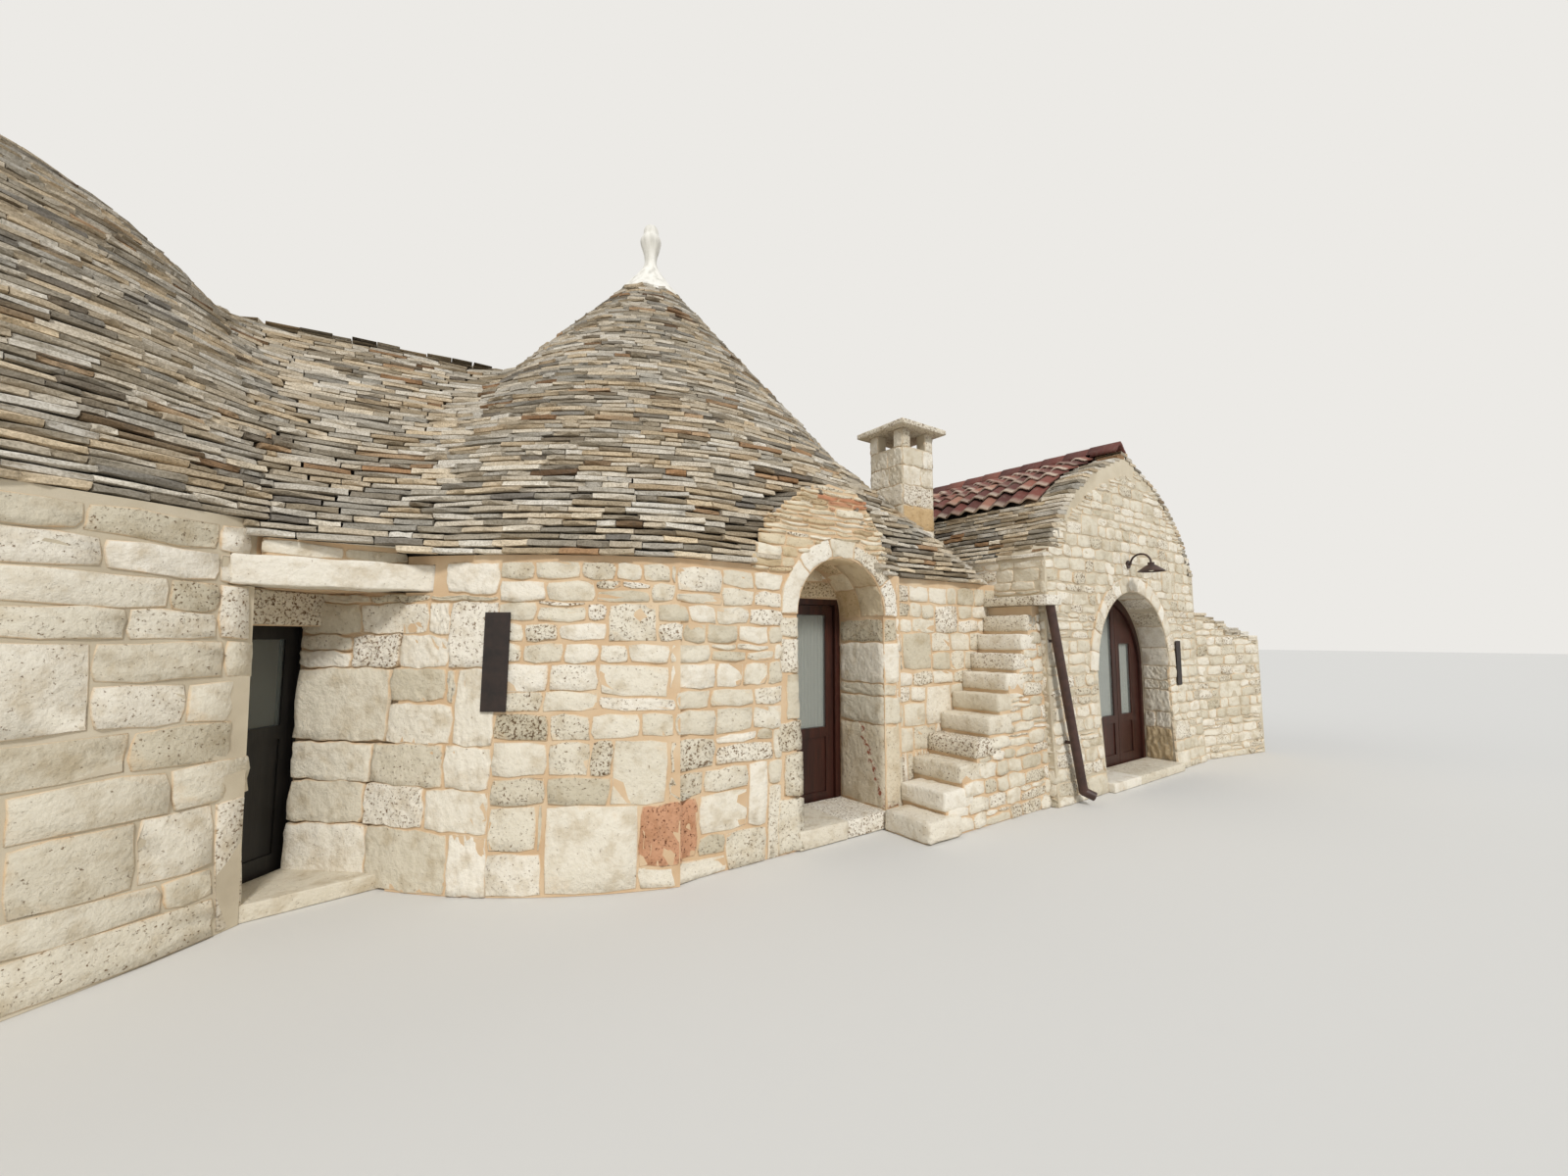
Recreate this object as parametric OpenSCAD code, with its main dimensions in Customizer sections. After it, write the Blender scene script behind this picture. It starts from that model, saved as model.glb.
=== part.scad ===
// Trullo house: two round stone rooms under slate cones, joined by a saddle roof,
// with a gabled vaulted room beside them. All sizes are in millimetres.
// The origin is on the ground at the middle room's axis, +X runs along the front
// to the right, the front faces -Y and +Z is up.

/* [Middle room] */
// Outer radius of the middle room's wall at its top
mid_r = 3450; // [3350:10:3550]
// Thickness of the middle room's round wall
mid_wall_t = 950; // [850:10:1050]
// Height of the middle room's wall
mid_wall_h = 2200; // [2150:10:2250]
// How far the flat front, left of and over the door, is set back from the round wall
mid_flat = 180; // [165:5:190]
// How far the flat front beside the stair is set back from the round wall
stair_flat = 250; // [220:5:270]
// How far past its eave the middle cone's slope would meet the wall's top
cone_out = 229; // [200:1:260]
// Rise of the middle cone for each unit of run
mid_pitch = 1.15; // [1.1:0.01:1.2]
// Rise of the steep foot of the middle roof for each unit of run
foot_pitch = 2.2; // [1.8:0.1:2.6]
// How far within the roof's square corner its flatter slope would meet the wall's top
flare_short = 81; // [75:1:130]
// Rise of that corner's slope for each unit of run
flare_pitch = 0.87; // [0.86:0.01:0.9]

/* [Left room] */
// Outer radius of the left room's wall at its top
left_r = 4060; // [3960:10:4100]
// Thickness of the left room's wall
left_wall_t = 960; // [900:10:1150]
// Height of the left room's wall
left_wall_h = 2350; // [2300:10:2400]
// How far the outlines of the two round rooms overlap along the front
room_overlap = 1210; // [1160:10:1260]
// Place of the left room's axis behind the middle one
left_y = 600; // [550:10:650]
// How far the left dome's crown lies under the point where its flanks would meet
left_round = 2247; // [2150:1:2350]
// Rise of the left dome's flank for each unit of run
left_pitch = 1.31; // [1.25:0.01:1.35]

/* [Saddle roof] */
// Height of the saddle's ridge between the two rooms
saddle_ridge = 4660; // [4550:10:4750]
// How far the saddle roof's eave is set back from the middle room's outline
saddle_in = 750; // [700:10:800]
// Height of the saddle's eave
saddle_eave = 2250; // [2200:10:2300]

/* [Walls and roofs] */
// How far a round wall's foot stands out past its top
batter = 60; // [20:5:80]
// Thickness of the slate covering
slate_t = 90; // [60:5:110]
// Overhang of the eaves past the walls
eave_out = 60; // [40:5:80]
// Thickness of the built floors
floor_t = 70; // [50:5:75]

/* [Left door] */
// Direction of the left doorway, seen from the left room's axis
left_door_a = -42; // [-43:0.5:-41]
// Width of the left doorway between its stone reveals
left_door_w = 600; // [560:5:620]
// Offset of the left doorway's middle to the right of that direction
left_door_shift = 85; // [75:5:95]
// How far the left door is set back from the round wall's face
left_reveal = 260; // [220:10:310]
// Height of the left door leaf's top
left_door_top = 1720; // [1680:10:1760]
// Underside of the outer lintel stone
left_lintel_z = 1950; // [1900:10:1980]
// Height of the outer lintel stone
left_lintel_h = 190; // [150:10:200]

/* [Middle door] */
// Place of the middle doorway's centre along the front
mid_door_x = 405; // [380:5:430]
// Width of the middle doorway
mid_door_w = 970; // [940:10:990]
// Height where the middle arch springs
mid_spring = 1830; // [1800:10:1850]
// Thickness of the middle arch's ring
mid_ring = 140; // [110:10:160]
// How far the middle door is set back from the flat front
mid_reveal = 590; // [550:10:610]
// Height of the middle door leaf's top
mid_door_top = 1945; // [1900:5:1960]

/* [Doors] */
// Thickness of the door leaves
leaf_t = 50; // [40:2:56]
// Depth of the door frames
frame_d = 80; // [70:5:100]
// Visible width of the middle door's frame
frame_w = 60; // [50:5:80]
// Width of the leaves' stiles and rails
stile_w = 90; // [70:5:110]
// Thickness of the panels and panes
pane_t = 10; // [8:1:14]
// Gap between a leaf and its frame
leaf_gap = 5; // [5:0.5:8]
// Radius of the hinge knuckles
knuckle_r = 7; // [6:0.5:7]
// Height of the glass's lower edge in the middle door
mid_glass_z = 800; // [700:10:900]
// Height of the glass's lower edge in the gabled room's doors
lamia_glass_z = 680; // [600:10:780]

/* [Gabled room] */
// How far the gabled room reaches into the middle room's outline
lamia_in = 790; // [770:10:810]
// Width of the gabled room
lamia_w = 3680; // [3600:10:3760]
// How far the gabled front stands out past the middle room's flat front
lamia_out = 510; // [490:5:550]
// Distance from the middle room's axis to the gabled room's back
lamia_back = 1600; // [1500:10:1700]
// Thickness of the gabled room's walls
lamia_wall = 500; // [450:10:550]
// Thickness of the gabled front
lamia_front_t = 550; // [500:10:600]
// Height of the gabled room's ridge
lamia_ridge = 3880; // [3820:10:3920]
// Height of the gabled room's side eaves
lamia_eave = 2500; // [2450:10:2540]
// Height where the inner vault springs
vault_spring = 1950; // [1900:10:1980]
// Thickness of the gabled room's covering
cover_t = 60; // [50:5:80]
// Radius of the front archway
arch_r = 900; // [880:5:920]
// Height where the front archway springs
arch_spring = 1280; // [1250:10:1300]
// Thickness of the front archway's ring
arch_ring = 160; // [140:10:180]
// Depth of the front archway before the doors
arch_d = 320; // [300:10:340]
// How far right of the archway's middle its wide and its narrow leaf meet
leaf_meet = 270; // [200:10:320]

/* [Chimney] */
// Width of the chimney along the front
chimney_w = 510; // [460:10:520]
// Depth of the chimney
chimney_d = 500; // [460:10:520]
// Height of the chimney's stack below its openings
chimney_h = 3800; // [3700:10:3900]
// Height of the chimney's openings
chimney_gap = 200; // [160:10:220]
// Width of the chimney's cap
cap_w = 740; // [680:10:780]

/* [Stair] */
// Number of rises up to the landing
stair_n = 11; // [10:1:12]
// Height of each rise
rise = 187; // [182:1:189]
// Going of the lowest step
first_going = 250; // [240:2:256]
// How much shorter each going is than the one below it
going_less = 18; // [17:1:19]
// Width of the stair from the wall to its open side
stair_w = 500; // [460:10:520]
// Thickness of the treads
tread_t = 100; // [80:5:120]
// How far the treads stand out past their rises
nosing = 30; // [20:5:35]

/* [Small pieces] */
// Diameter of the drainpipe
pipe_d = 88; // [76:2:100]
// Diameter of the lamp's shade
shade_d = 280; // [240:10:300]
// Width of the sign plates
sign_w = 170; // [150:5:190]
// Height of the taller sign plate
sign_h = 650; // [600:10:680]
// Height of the narrower sign plate
small_sign_h = 560; // [520:10:600]
// Radius of the pinnacles' skirts
pin_r = 420; // [380:10:440]
// Length of the low wall at the right end
annex_l = 1410; // [1300:10:1500]
// Height of the low wall where it meets the gabled room
annex_h = 1980; // [1900:10:2020]
// Fall of the low wall's top along its length
annex_drop = 380; // [300:10:420]

/* [Hidden] */

$fn = 360;
small_fn = 48;
far = 12000;
limestone = "#e4d9bd";
mortar = "#d9c2a0";
slate = "#9a9588";
plaster = "#f1ede2";
timber = "#4a2a20";
black_timber = "#1b1917";
pane = "#5d6a6a";
tile = "#8d4a38";
metal = "#3b2a22";

mid_room_r = mid_r - mid_wall_t;
mid_front = mid_r - mid_flat;
stair_front = mid_r - stair_flat;
left_room_r = left_r - left_wall_t;
left_x = room_overlap - mid_r - left_r;
saddle_half = mid_r - saddle_in;
left_door_d = left_r - left_reveal;
mid_door_y = mid_front - mid_reveal;
lamia_x0 = mid_r - lamia_in;
lamia_front = mid_front + lamia_out;
stair_h = stair_n * rise;
roof_r = mid_r + eave_out;
mid_cone_top = mid_wall_h + mid_pitch * (roof_r + cone_out);

// Where the two round walls meet: a plane across the line between the two axes
axis_gap = norm([left_x, left_y]);
axis_a = atan2(left_y, left_x);
split_s = (axis_gap * axis_gap + mid_r * mid_r - left_r * left_r) / (2 * axis_gap);

lamia_cx = lamia_x0 + lamia_w / 2;
arch_shift = 50;
arch_cx = lamia_cx + arch_shift;
left_power = 5;
left_slope_top = left_wall_h + left_pitch * (left_r + eave_out);
left_crown = left_slope_top - left_round;
leaf_bottom = floor_t + 10;
hinge_off = 8;
hinge_h = 80;
hinge_zs = [350, 1150];
threshold_h = 100;

// Plan helpers

// Frame of the left doorway: x runs outwards from the left axis, y to the right
module at_left_door() {
  translate([left_x, left_y, 0]) rotate([0, 0, left_door_a]) children();
}

// Frame of the line between the axes: x runs from the middle axis to the left one
module at_axis_line() {
  rotate([0, 0, axis_a]) children();
}

// Half space on the left room's side of the split, or on the middle room's side
module left_side(z0 = -10, z1 = 9000) {
  at_axis_line() translate([split_s, -far, z0]) cube([far, 2 * far, z1 - z0]);
}
module middle_side(z0 = -10, z1 = 9000) {
  at_axis_line() translate([split_s - far, -far, z0]) cube([far, 2 * far, z1 - z0]);
}

// Wedge of a round room between two directions, up to half a turn apart
module wedge(a0, a1, h) {
  intersection() {
    rotate([0, 0, a0]) translate([-far, 0, -1]) cube([2 * far, far, h + 2]);
    rotate([0, 0, a1]) translate([-far, -far, -1]) cube([2 * far, far, h + 2]);
  }
}

// Outer form of a round wall, wider at its foot
module round_form(r, h) {
  cylinder(r1 = r + batter, r2 = r, h = h);
}

// Extrudes an outline of [y, z] points from x0 to x1
module prism_x(x0, x1, points) {
  translate([x1, 0, 0]) rotate([0, -90, 0]) rotate([0, 0, 90])
    linear_extrude(x1 - x0) polygon([for (p = points) [p[0], -p[1]]]);
}

// Extrudes an outline of [x, z] points from y0 to y1
module prism_y(y0, y1, points) {
  translate([0, y1, 0]) rotate([90, 0, 0]) linear_extrude(y1 - y0) polygon(points);
}

// Left room

left_door_y0 = left_door_shift - left_door_w / 2;
left_door_y1 = left_door_shift + left_door_w / 2;
left_niche_in = 75;
left_frame_w = 80;
left_niche_y0 = left_door_y0 - left_niche_in;
left_niche_y1 = left_door_y1 + left_niche_in;
left_column_out = 540;
left_column_d = left_r + left_column_out;
left_lintel_back = left_door_d + 150;
left_column_in = 400;

// Column of space that the left doorway takes from the walls
module left_column(z0, z1) {
  at_left_door() {
    translate([left_door_d, left_door_y0, z0])
      cube([left_column_d - left_door_d, left_door_w, z1 - z0]);
    translate([left_room_r - left_column_in, left_niche_y0, z0])
      cube([left_door_d - left_room_r + left_column_in, left_niche_y1 - left_niche_y0, z1 - z0]);
  }
}

module left_ring(z0 = 0, z1 = left_wall_h) {
  translate([left_x, left_y, 0]) difference() {
    round_form(left_r, left_wall_h);
    translate([0, 0, -1]) cylinder(r = left_room_r, h = left_wall_h + 2);
  }
}

module left_wall(a0, a1) {
  difference() {
    intersection() {
      left_ring();
      translate([left_x, left_y, 0]) wedge(a0, a1, left_wall_h);
      left_side();
    }
    left_column(-1, left_wall_h + 1);
    lintel_stone();
  }
}

front_a = -130;
party_a = 80;
module left_wall_front() color(limestone) left_wall(front_a, left_door_a);
module left_wall_rear() color(limestone) left_wall(party_a, front_a);
module left_wall_party() color(limestone) left_wall(left_door_a, party_a);

// The outer lintel stone reaches into both round walls
lintel_l = 1080;
lintel_x = left_x + 2770;
lintel_y = left_y - 3000;
lintel_d = 330;
module lintel_stone() {
  translate([lintel_x, lintel_y, left_lintel_z]) rotate([0, 0, 1])
    cube([lintel_l, lintel_d, left_lintel_h]);
}
module left_lintel() color(limestone) lintel_stone();

// The notch between the round walls, in plan, out to the doorstep's line
notch_left = [2900, -2930];
notch_right = [3660, -2800];
notch_in = -1800;
module notch(z0, z1) {
  difference() {
    translate([left_x, left_y, z0]) linear_extrude(z1 - z0)
      polygon([notch_left, notch_right, [notch_right[0], notch_in], [notch_left[0], notch_in]]);
    translate([left_x, left_y, 0]) round_form(left_r, left_wall_h);
    round_form(mid_r, mid_wall_h);
    mid_form();
  }
}

module left_door_head() color(limestone) difference() {
  union() {
    intersection() {
      left_ring();
      left_column(left_door_top, left_wall_h);
      left_side();
    }
    intersection() {
      notch(left_door_top, saddle_eave - saddle_gap);
      left_column(left_door_top, saddle_eave);
    }
  }
  // The passage is tall outside, low at the inner lintel and a little higher round the frame
  at_left_door() {
    translate([left_lintel_back, left_door_y0 - 10, left_door_top - 1])
      cube([left_r, left_door_w + 20, left_lintel_z - left_door_top + 1]);
    translate([0, left_niche_y0 - 1, left_door_top - 1])
      cube([left_door_d, left_niche_y1 - left_niche_y0 + 2, left_frame_w + 1]);
  }
  lintel_stone();
}

module left_floor() color(mortar) intersection() {
  union() {
    translate([left_x, left_y, 0]) cylinder(r = left_room_r, h = floor_t);
    at_left_door() translate([0, left_niche_y0, 0])
      cube([left_door_d, left_niche_y1 - left_niche_y0, floor_t]);
  }
  left_side(-10, 200);
}

// Height of the left dome's finished surface over a point at distance r from its axis
function left_dome_z(r) =
  left_slope_top - pow(pow(left_round, left_power) + pow(left_pitch * r, left_power), 1 / left_power);
left_dome_shares = [0, 0.17, 0.27, 0.345, 0.42, 0.49, 0.59];
crown_share = 0.32;

// Form of the left roof, its surface t inside the finished slates
module left_form(t = 0) {
  drop = t * norm([1, left_pitch]);
  cap = t * (1 + (norm([1, left_pitch]) - 1) * 0.5);
  translate([left_x, left_y, 0]) rotate_extrude() polygon(concat(
    [for (s = left_dome_shares) [left_r * s, left_dome_z(left_r * s) - (s < crown_share ? cap : drop)]],
    [[(left_slope_top - left_wall_h - drop) / left_pitch, left_wall_h], [0, left_wall_h]]
  ));
}

module left_room_void() {
  translate([left_x, left_y, 0]) rotate_extrude() polygon([
    [0, left_wall_h - 1], [left_room_r, left_wall_h - 1], [left_room_r, left_wall_h],
    [left_room_r * 0.72, left_crown - 1750], [left_room_r * 0.4, left_crown - 900],
    [0, left_crown - 600]
  ]);
}

module left_dome() color(mortar) difference() {
  intersection() {
    left_form(slate_t);
    left_side();
  }
  left_room_void();
}

module left_slates() color(slate) difference() {
  intersection() {
    left_form();
    left_side();
  }
  left_form(slate_t);
  translate([left_x, left_y, left_wall_h - 1]) cylinder(r = left_room_r, h = 200);
}

// Saddle roof

saddle_round = 100;
saddle_top = saddle_ridge + saddle_round;
saddle_gap = 0.4;
saddle_pitch = sqrt(pow(saddle_top - saddle_eave, 2) - pow(saddle_round, 2)) / saddle_half;
function saddle_z(p) = saddle_top - norm([saddle_round, saddle_pitch * p]);

module saddle_form(t = 0) {
  drop = t * norm([1, saddle_pitch]);
  half = saddle_half - drop / saddle_pitch;
  ps = [for (s = [-0.56, -0.09, -0.03, 0, 0.03, 0.09, 0.56]) saddle_half * s];
  at_axis_line() translate([axis_gap, 0, 0]) rotate([0, -90, 0]) rotate([0, 0, 90])
    mirror([0, 1, 0]) linear_extrude(axis_gap) polygon(concat(
      [[-half, saddle_eave]],
      [for (p = ps) [p, saddle_z(p) - drop]],
      [[half, saddle_eave]]
    ));
}

module round_forms() {
  intersection() {
    left_form();
    left_side();
  }
  intersection() {
    mid_form();
    middle_side();
  }
  translate([left_x, left_y, 0]) round_form(left_r + saddle_gap, left_wall_h);
}

module saddle_core() color(mortar) difference() {
  saddle_form(slate_t);
  round_forms();
}

module saddle_slates() color(slate) difference() {
  saddle_form();
  saddle_form(slate_t);
  round_forms();
}

// Wall that closes the notch at the back, as the head of the left door does at the front
module saddle_wall_rear() color(limestone) difference() {
  at_axis_line() mirror([0, 1, 0]) translate([split_s - party_w, party_in, 0])
    cube([2 * party_w, saddle_half - eave_out - party_in, saddle_eave]);
  translate([left_x, left_y, 0]) round_form(left_r, left_wall_h);
  round_form(mid_r, mid_wall_h);
  mid_form();
}
party_w = 900;
party_in = saddle_half - 1200;

// Middle room

mid_flat_x0 = -sqrt(mid_r * mid_r - mid_front * mid_front);
mid_x0 = mid_door_x - mid_door_w / 2;
mid_x1 = mid_door_x + mid_door_w / 2;
mid_flat_x1 = mid_x1 + 210;

// Direction of the middle door, seen from the middle room's axis
door_a = -90 + atan(mid_door_x / mid_front);

// Outer form of the middle room's wall: round, with a flat front on the right
module mid_wall_form() {
  difference() {
    round_form(mid_r, mid_wall_h);
    translate([mid_flat_x0, -mid_r - 500, -1]) cube([far, mid_r, mid_wall_h + 2]);
  }
  translate([mid_flat_x0, -mid_front, 0]) cube([mid_flat_x1 - mid_flat_x0, 900, mid_wall_h]);
  translate([mid_flat_x0, -stair_front, 0]) cube([lamia_x0 - mid_flat_x0, 3000, mid_wall_h]);
}

module mid_doorway_cut() {
  translate([mid_x0, -mid_r - 500, -1]) cube([mid_door_w, mid_r - mid_room_r + 900, mid_wall_h + 2]);
  mid_arch_disc(mid_door_w / 2 + mid_ring, mid_door_y);
}

// Round head of the middle doorway, of radius r, from the front back to y
module mid_arch_disc(r, y) {
  intersection() {
    translate([mid_door_x, -y, mid_spring]) rotate([90, 0, 0]) cylinder(r = r, h = 1500);
    translate([mid_door_x - r, -mid_r - 2000, mid_spring]) cube([2 * r, 3000, 2 * r]);
  }
}

module mid_wall_ring() {
  difference() {
    mid_wall_form();
    translate([0, 0, -1]) cylinder(r = mid_room_r, h = mid_wall_h + 2);
    translate([lamia_x0, -far / 2, -1]) cube([far, far, mid_wall_h + 2]);
    mid_doorway_cut();
    left_column(-1, mid_wall_h + 1);
    lintel_stone();
  }
}

// Stone that carries the round wall on into the left doorway's right reveal
reveal_l = 640;
reveal_t = 215;
module reveal_fill() {
  difference() {
    at_left_door() translate([left_door_d, left_door_y1, 0])
      cube([reveal_l, reveal_t, mid_wall_h]);
    translate([left_x, left_y, 0]) round_form(left_r, left_wall_h);
    left_side();
    lintel_stone();
  }
}

module middle_wall_left() color(limestone) union() {
  intersection() {
    mid_wall_ring();
    wedge(180, door_a, mid_wall_h);
    middle_side();
  }
  reveal_fill();
}

module middle_wall_right() color(limestone) intersection() {
  mid_wall_ring();
  wedge(door_a, 0, mid_wall_h);
}

module middle_wall_rear() color(limestone) intersection() {
  mid_wall_ring();
  wedge(0, 180, mid_wall_h);
  middle_side();
}

module middle_door_head() color(limestone) intersection() {
  difference() {
    mid_wall_form();
    translate([0, 0, -1]) cylinder(r = mid_room_r, h = mid_wall_h + 2);
  }
  translate([mid_x0, -mid_door_y, mid_door_top + frame_w])
    cube([mid_door_w, 800, mid_wall_h - mid_door_top - frame_w]);
}

module middle_arch() color(limestone) difference() {
  intersection() {
    mid_arch_disc(mid_door_w / 2 + mid_ring, mid_door_y);
    translate([-far / 2, -mid_front - arch_proud, 0]) cube([far, far, far]);
  }
  mid_arch_disc(mid_door_w / 2, mid_door_y - 10);
}

// Form of the middle roof, its surface t inside the finished slates
module mid_form(t = 0) {
  drop = t * norm([1, mid_pitch]);
  side = t * norm([1, 1 / foot_pitch]);
  top = mid_cone_top - drop;
  intersection() {
    translate([0, 0, mid_wall_h])
      cylinder(r1 = (top - mid_wall_h) / mid_pitch, r2 = 0, h = top - mid_wall_h);
    union() {
      difference() {
        mid_foot_cone(roof_r - side);
        translate([mid_flat_x0, -mid_r - 500, 0]) cube([far, mid_r - 400, far]);
      }
      mid_foot_prism(mid_flat_x0, mid_flat_x1, mid_front + eave_out - side);
      mid_foot_prism(mid_flat_x1 - 100, lamia_x0, stair_front + eave_out - side);
    }
  }
  // Flatter slope that carries the roof out to its square corner beside the gabled room,
  // between two planes that touch the cone
  flare = flare_top - t * norm([1, flare_pitch]);
  intersection() {
    rotate([0, 0, corner_a - corner_half]) rotate_extrude(angle = 2 * corner_half)
      polygon([[0, mid_wall_h], [(flare - mid_wall_h) / flare_pitch, mid_wall_h], [0, flare]]);
    for (s = [-1, 1]) tangent_prism(corner_a + s * corner_half, top);
    mid_foot_prism(mid_door_x, lamia_x0, stair_front + eave_out - side);
  }
}

// The roof's square corner, seen from the middle room's axis
corner_d = norm([lamia_x0, stair_front + eave_out]);
flare_top = mid_wall_h + flare_pitch * (corner_d - flare_short);
corner_a = -atan2(stair_front + eave_out, lamia_x0);
corner_half = acos((mid_cone_top - mid_wall_h) / (mid_pitch * corner_d));

// Space below the plane that touches the cone in direction a
module tangent_prism(a, top) {
  rotate([0, 0, a]) prism_y(-far, far, [
    [0, mid_wall_h], [(top - mid_wall_h) / mid_pitch, mid_wall_h], [0, top]
  ]);
}

foot_rise = 50;
foot_top = mid_cone_top - 300;
module mid_foot_cone(r) {
  h = foot_top - mid_wall_h;
  translate([0, 0, mid_wall_h]) cylinder(r1 = r, r2 = r - (h - foot_rise) / foot_pitch, h = h);
}
module mid_foot_prism(x0, x1, y) {
  prism_x(x0, x1, [
    [-400, mid_wall_h], [-y, mid_wall_h], [-y, mid_wall_h + foot_rise],
    [-y + (foot_top - mid_wall_h - foot_rise) / foot_pitch, foot_top], [-400, foot_top]
  ]);
}

module mid_room_void() {
  rotate_extrude() polygon([
    [0, mid_wall_h - 1], [mid_room_r, mid_wall_h - 1], [mid_room_r, mid_wall_h],
    [mid_room_r * 0.68, mid_cone_top - 2900], [mid_room_r * 0.32, mid_cone_top - 1650],
    [0, mid_cone_top - 1050]
  ]);
}

// What stands through or beside the middle roof
module mid_roof_cuts() {
  chimney_box();
  hood_block();
  mid_arch_disc(mid_door_w / 2 + mid_ring, mid_door_y);
  lamia_solid();
}

module middle_dome() color(mortar) difference() {
  intersection() {
    mid_form(slate_t);
    middle_side();
  }
  mid_room_void();
  mid_roof_cuts();
}

module middle_slates() color(slate) difference() {
  intersection() {
    mid_form();
    middle_side();
  }
  mid_form(slate_t);
  mid_roof_cuts();
}

// Mound over the middle arch, level with the arch's face
hood_h = 730;
hood_left = 360;
hood_right = 40;
hood_t = 390;
arch_proud = 15;
module hood_block() {
  foot = [mid_x0 - hood_left, mid_wall_h];
  run = mid_x1 + hood_right - foot[0];
  prism_y(-mid_front - arch_proud, -mid_front + hood_t, [
    foot, foot + [run * 0.1, hood_h * 0.507], foot + [run * 0.357, hood_h * 0.89],
    foot + [run * 0.503, hood_h], foot + [run * 0.737, hood_h * 0.945],
    foot + [run * 0.934, hood_h * 0.507], foot + [run, 0]
  ]);
}
module middle_hood() color(limestone) difference() {
  hood_block();
  mid_arch_disc(mid_door_w / 2 + mid_ring, mid_door_y);
}

module middle_floor() color(mortar) union() {
  cylinder(r = mid_room_r, h = floor_t);
  translate([mid_x0, -mid_door_y, 0]) cube([mid_door_w, mid_door_y - mid_room_r + 500, floor_t]);
}

// White plaster pinnacle: skirt, neck, bulge and ball, as shares of its skirt's radius
pin_profile = [
  [0, -0.24], [1, -0.24], [1, 0], [0.7, 0.38], [0.4, 0.785], [0.25, 1.025], [0.174, 1.24],
  [0.202, 1.475], [0.298, 1.81], [0.326, 1.93], [0.31, 2.025], [0.23, 2.13], [0.23, 2.285],
  [0.202, 2.393], [0.12, 2.464], [0, 2.488]
];
module pinnacle(z) {
  translate([0, 0, z]) rotate_extrude($fn = 96) polygon([for (p = pin_profile) p * pin_r]);
}
module pinnacles() color(plaster) {
  difference() {
    pinnacle(mid_cone_top - mid_pitch * pin_r);
    mid_form();
  }
  difference() {
    translate([left_x, left_y, 0]) pinnacle(left_crown + 20);
    left_form();
  }
}

// Doorsteps: the left and the middle ones lie in their doorways, the third before the archway.
// The left one's front edge runs across the notch, further out on its right.
left_step_near = left_r + 45;
left_step_far = left_r + 525;
step_out = 40;
mid_step_h = 150;
arch_step = 130;
module thresholds() color(limestone) {
  at_left_door() linear_extrude(threshold_h) polygon([
    [left_door_d, left_door_y0], [left_step_near, left_door_y0], [left_step_far, left_door_y1],
    [left_door_d, left_door_y1]
  ]);
  translate([mid_x0, -mid_front - step_out, 0])
    cube([mid_door_w, mid_front + step_out - mid_door_y, mid_step_h]);
  translate([arch_cx - arch_r, -lamia_front - arch_step, 0])
    cube([2 * arch_r, arch_step + arch_d, threshold_h]);
}

// How far behind a leaf's outer face its pane and its curtain lie
pane_back = 15;
curtain_back = 30;
curtain_t = 14;

// Door hinges

// Two hinges on one leaf's edge; the axis is at the origin and the leaf runs to +X
module leaf_knuckles() {
  for (z = hinge_zs) translate([0, 0, z]) {
    cylinder(r = knuckle_r, h = hinge_h / 2);
    translate([0, -hinge_off - 3, 0]) cube([28, 3, hinge_h / 2]);
    translate([0, -hinge_off, 0]) cube([5, hinge_off, hinge_h / 2]);
  }
}
module frame_knuckles() {
  for (z = hinge_zs) for (dz = [-hinge_h / 4 - 0.5, hinge_h / 2 + 0.5]) translate([0, 0, z + dz]) {
    cylinder(r = knuckle_r, h = hinge_h / 4);
    translate([-28, -hinge_off - 3, 0]) cube([28, 3, hinge_h / 4]);
    translate([-5, -hinge_off, 0]) cube([5, hinge_off, hinge_h / 4]);
  }
}

// A square-headed leaf w wide from its hinge axis, with a pane above a solid panel
module leaf(w, top, glass_z) {
  t0 = -hinge_off - leaf_t;
  difference() {
    translate([leaf_gap / 2, t0, leaf_bottom]) cube([w, leaf_t, top - leaf_bottom]);
    translate([leaf_gap / 2 + stile_w, t0 - 1, glass_z])
      cube([w - 2 * stile_w, leaf_t + 2, top - stile_w - glass_z]);
    for (y = [t0 - 1, t0 + leaf_t - 14])
      translate([leaf_gap / 2 + stile_w, y, leaf_bottom + 1.4 * stile_w])
        cube([w - 2 * stile_w, 15, glass_z - leaf_bottom - 2.4 * stile_w]);
  }
  leaf_knuckles();
}
module leaf_pane(w, top, glass_z) {
  t0 = -hinge_off - leaf_t;
  translate([leaf_gap / 2 + stile_w, t0 + pane_back, glass_z])
    cube([w - 2 * stile_w, pane_t, top - stile_w - glass_z]);
}
module leaf_curtain(w, top, glass_z) {
  t0 = -hinge_off - leaf_t;
  translate([leaf_gap / 2 + stile_w, t0 + curtain_back, glass_z])
    cube([w - 2 * stile_w, curtain_t, top - stile_w - glass_z]);
}

// Left door: its hinge axis is on the left reveal's side, seen from outside
module at_left_hinge() {
  at_left_door() translate([left_door_d - frame_d - hinge_off, left_door_y0 - leaf_gap / 2, 0])
    rotate([0, 0, 90]) children();
}
left_glass_z = 1050;
module left_door_leaf() color(black_timber) at_left_hinge() leaf(left_door_w, left_door_top, left_glass_z);
module left_door_glass() color(pane) at_left_hinge() leaf_pane(left_door_w, left_door_top, left_glass_z);
module left_door_frame() color(black_timber) {
  difference() {
    at_left_door() translate([left_door_d - frame_d, left_niche_y0, floor_t])
      cube([frame_d, left_niche_y1 - left_niche_y0, left_door_top + left_frame_w - floor_t]);
    at_left_door() translate([left_door_d - frame_d - 1, left_door_y0 - leaf_gap, 0])
      cube([frame_d + 2, left_door_w + 2 * leaf_gap, left_door_top + leaf_gap]);
  }
  at_left_hinge() frame_knuckles();
}

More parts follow.
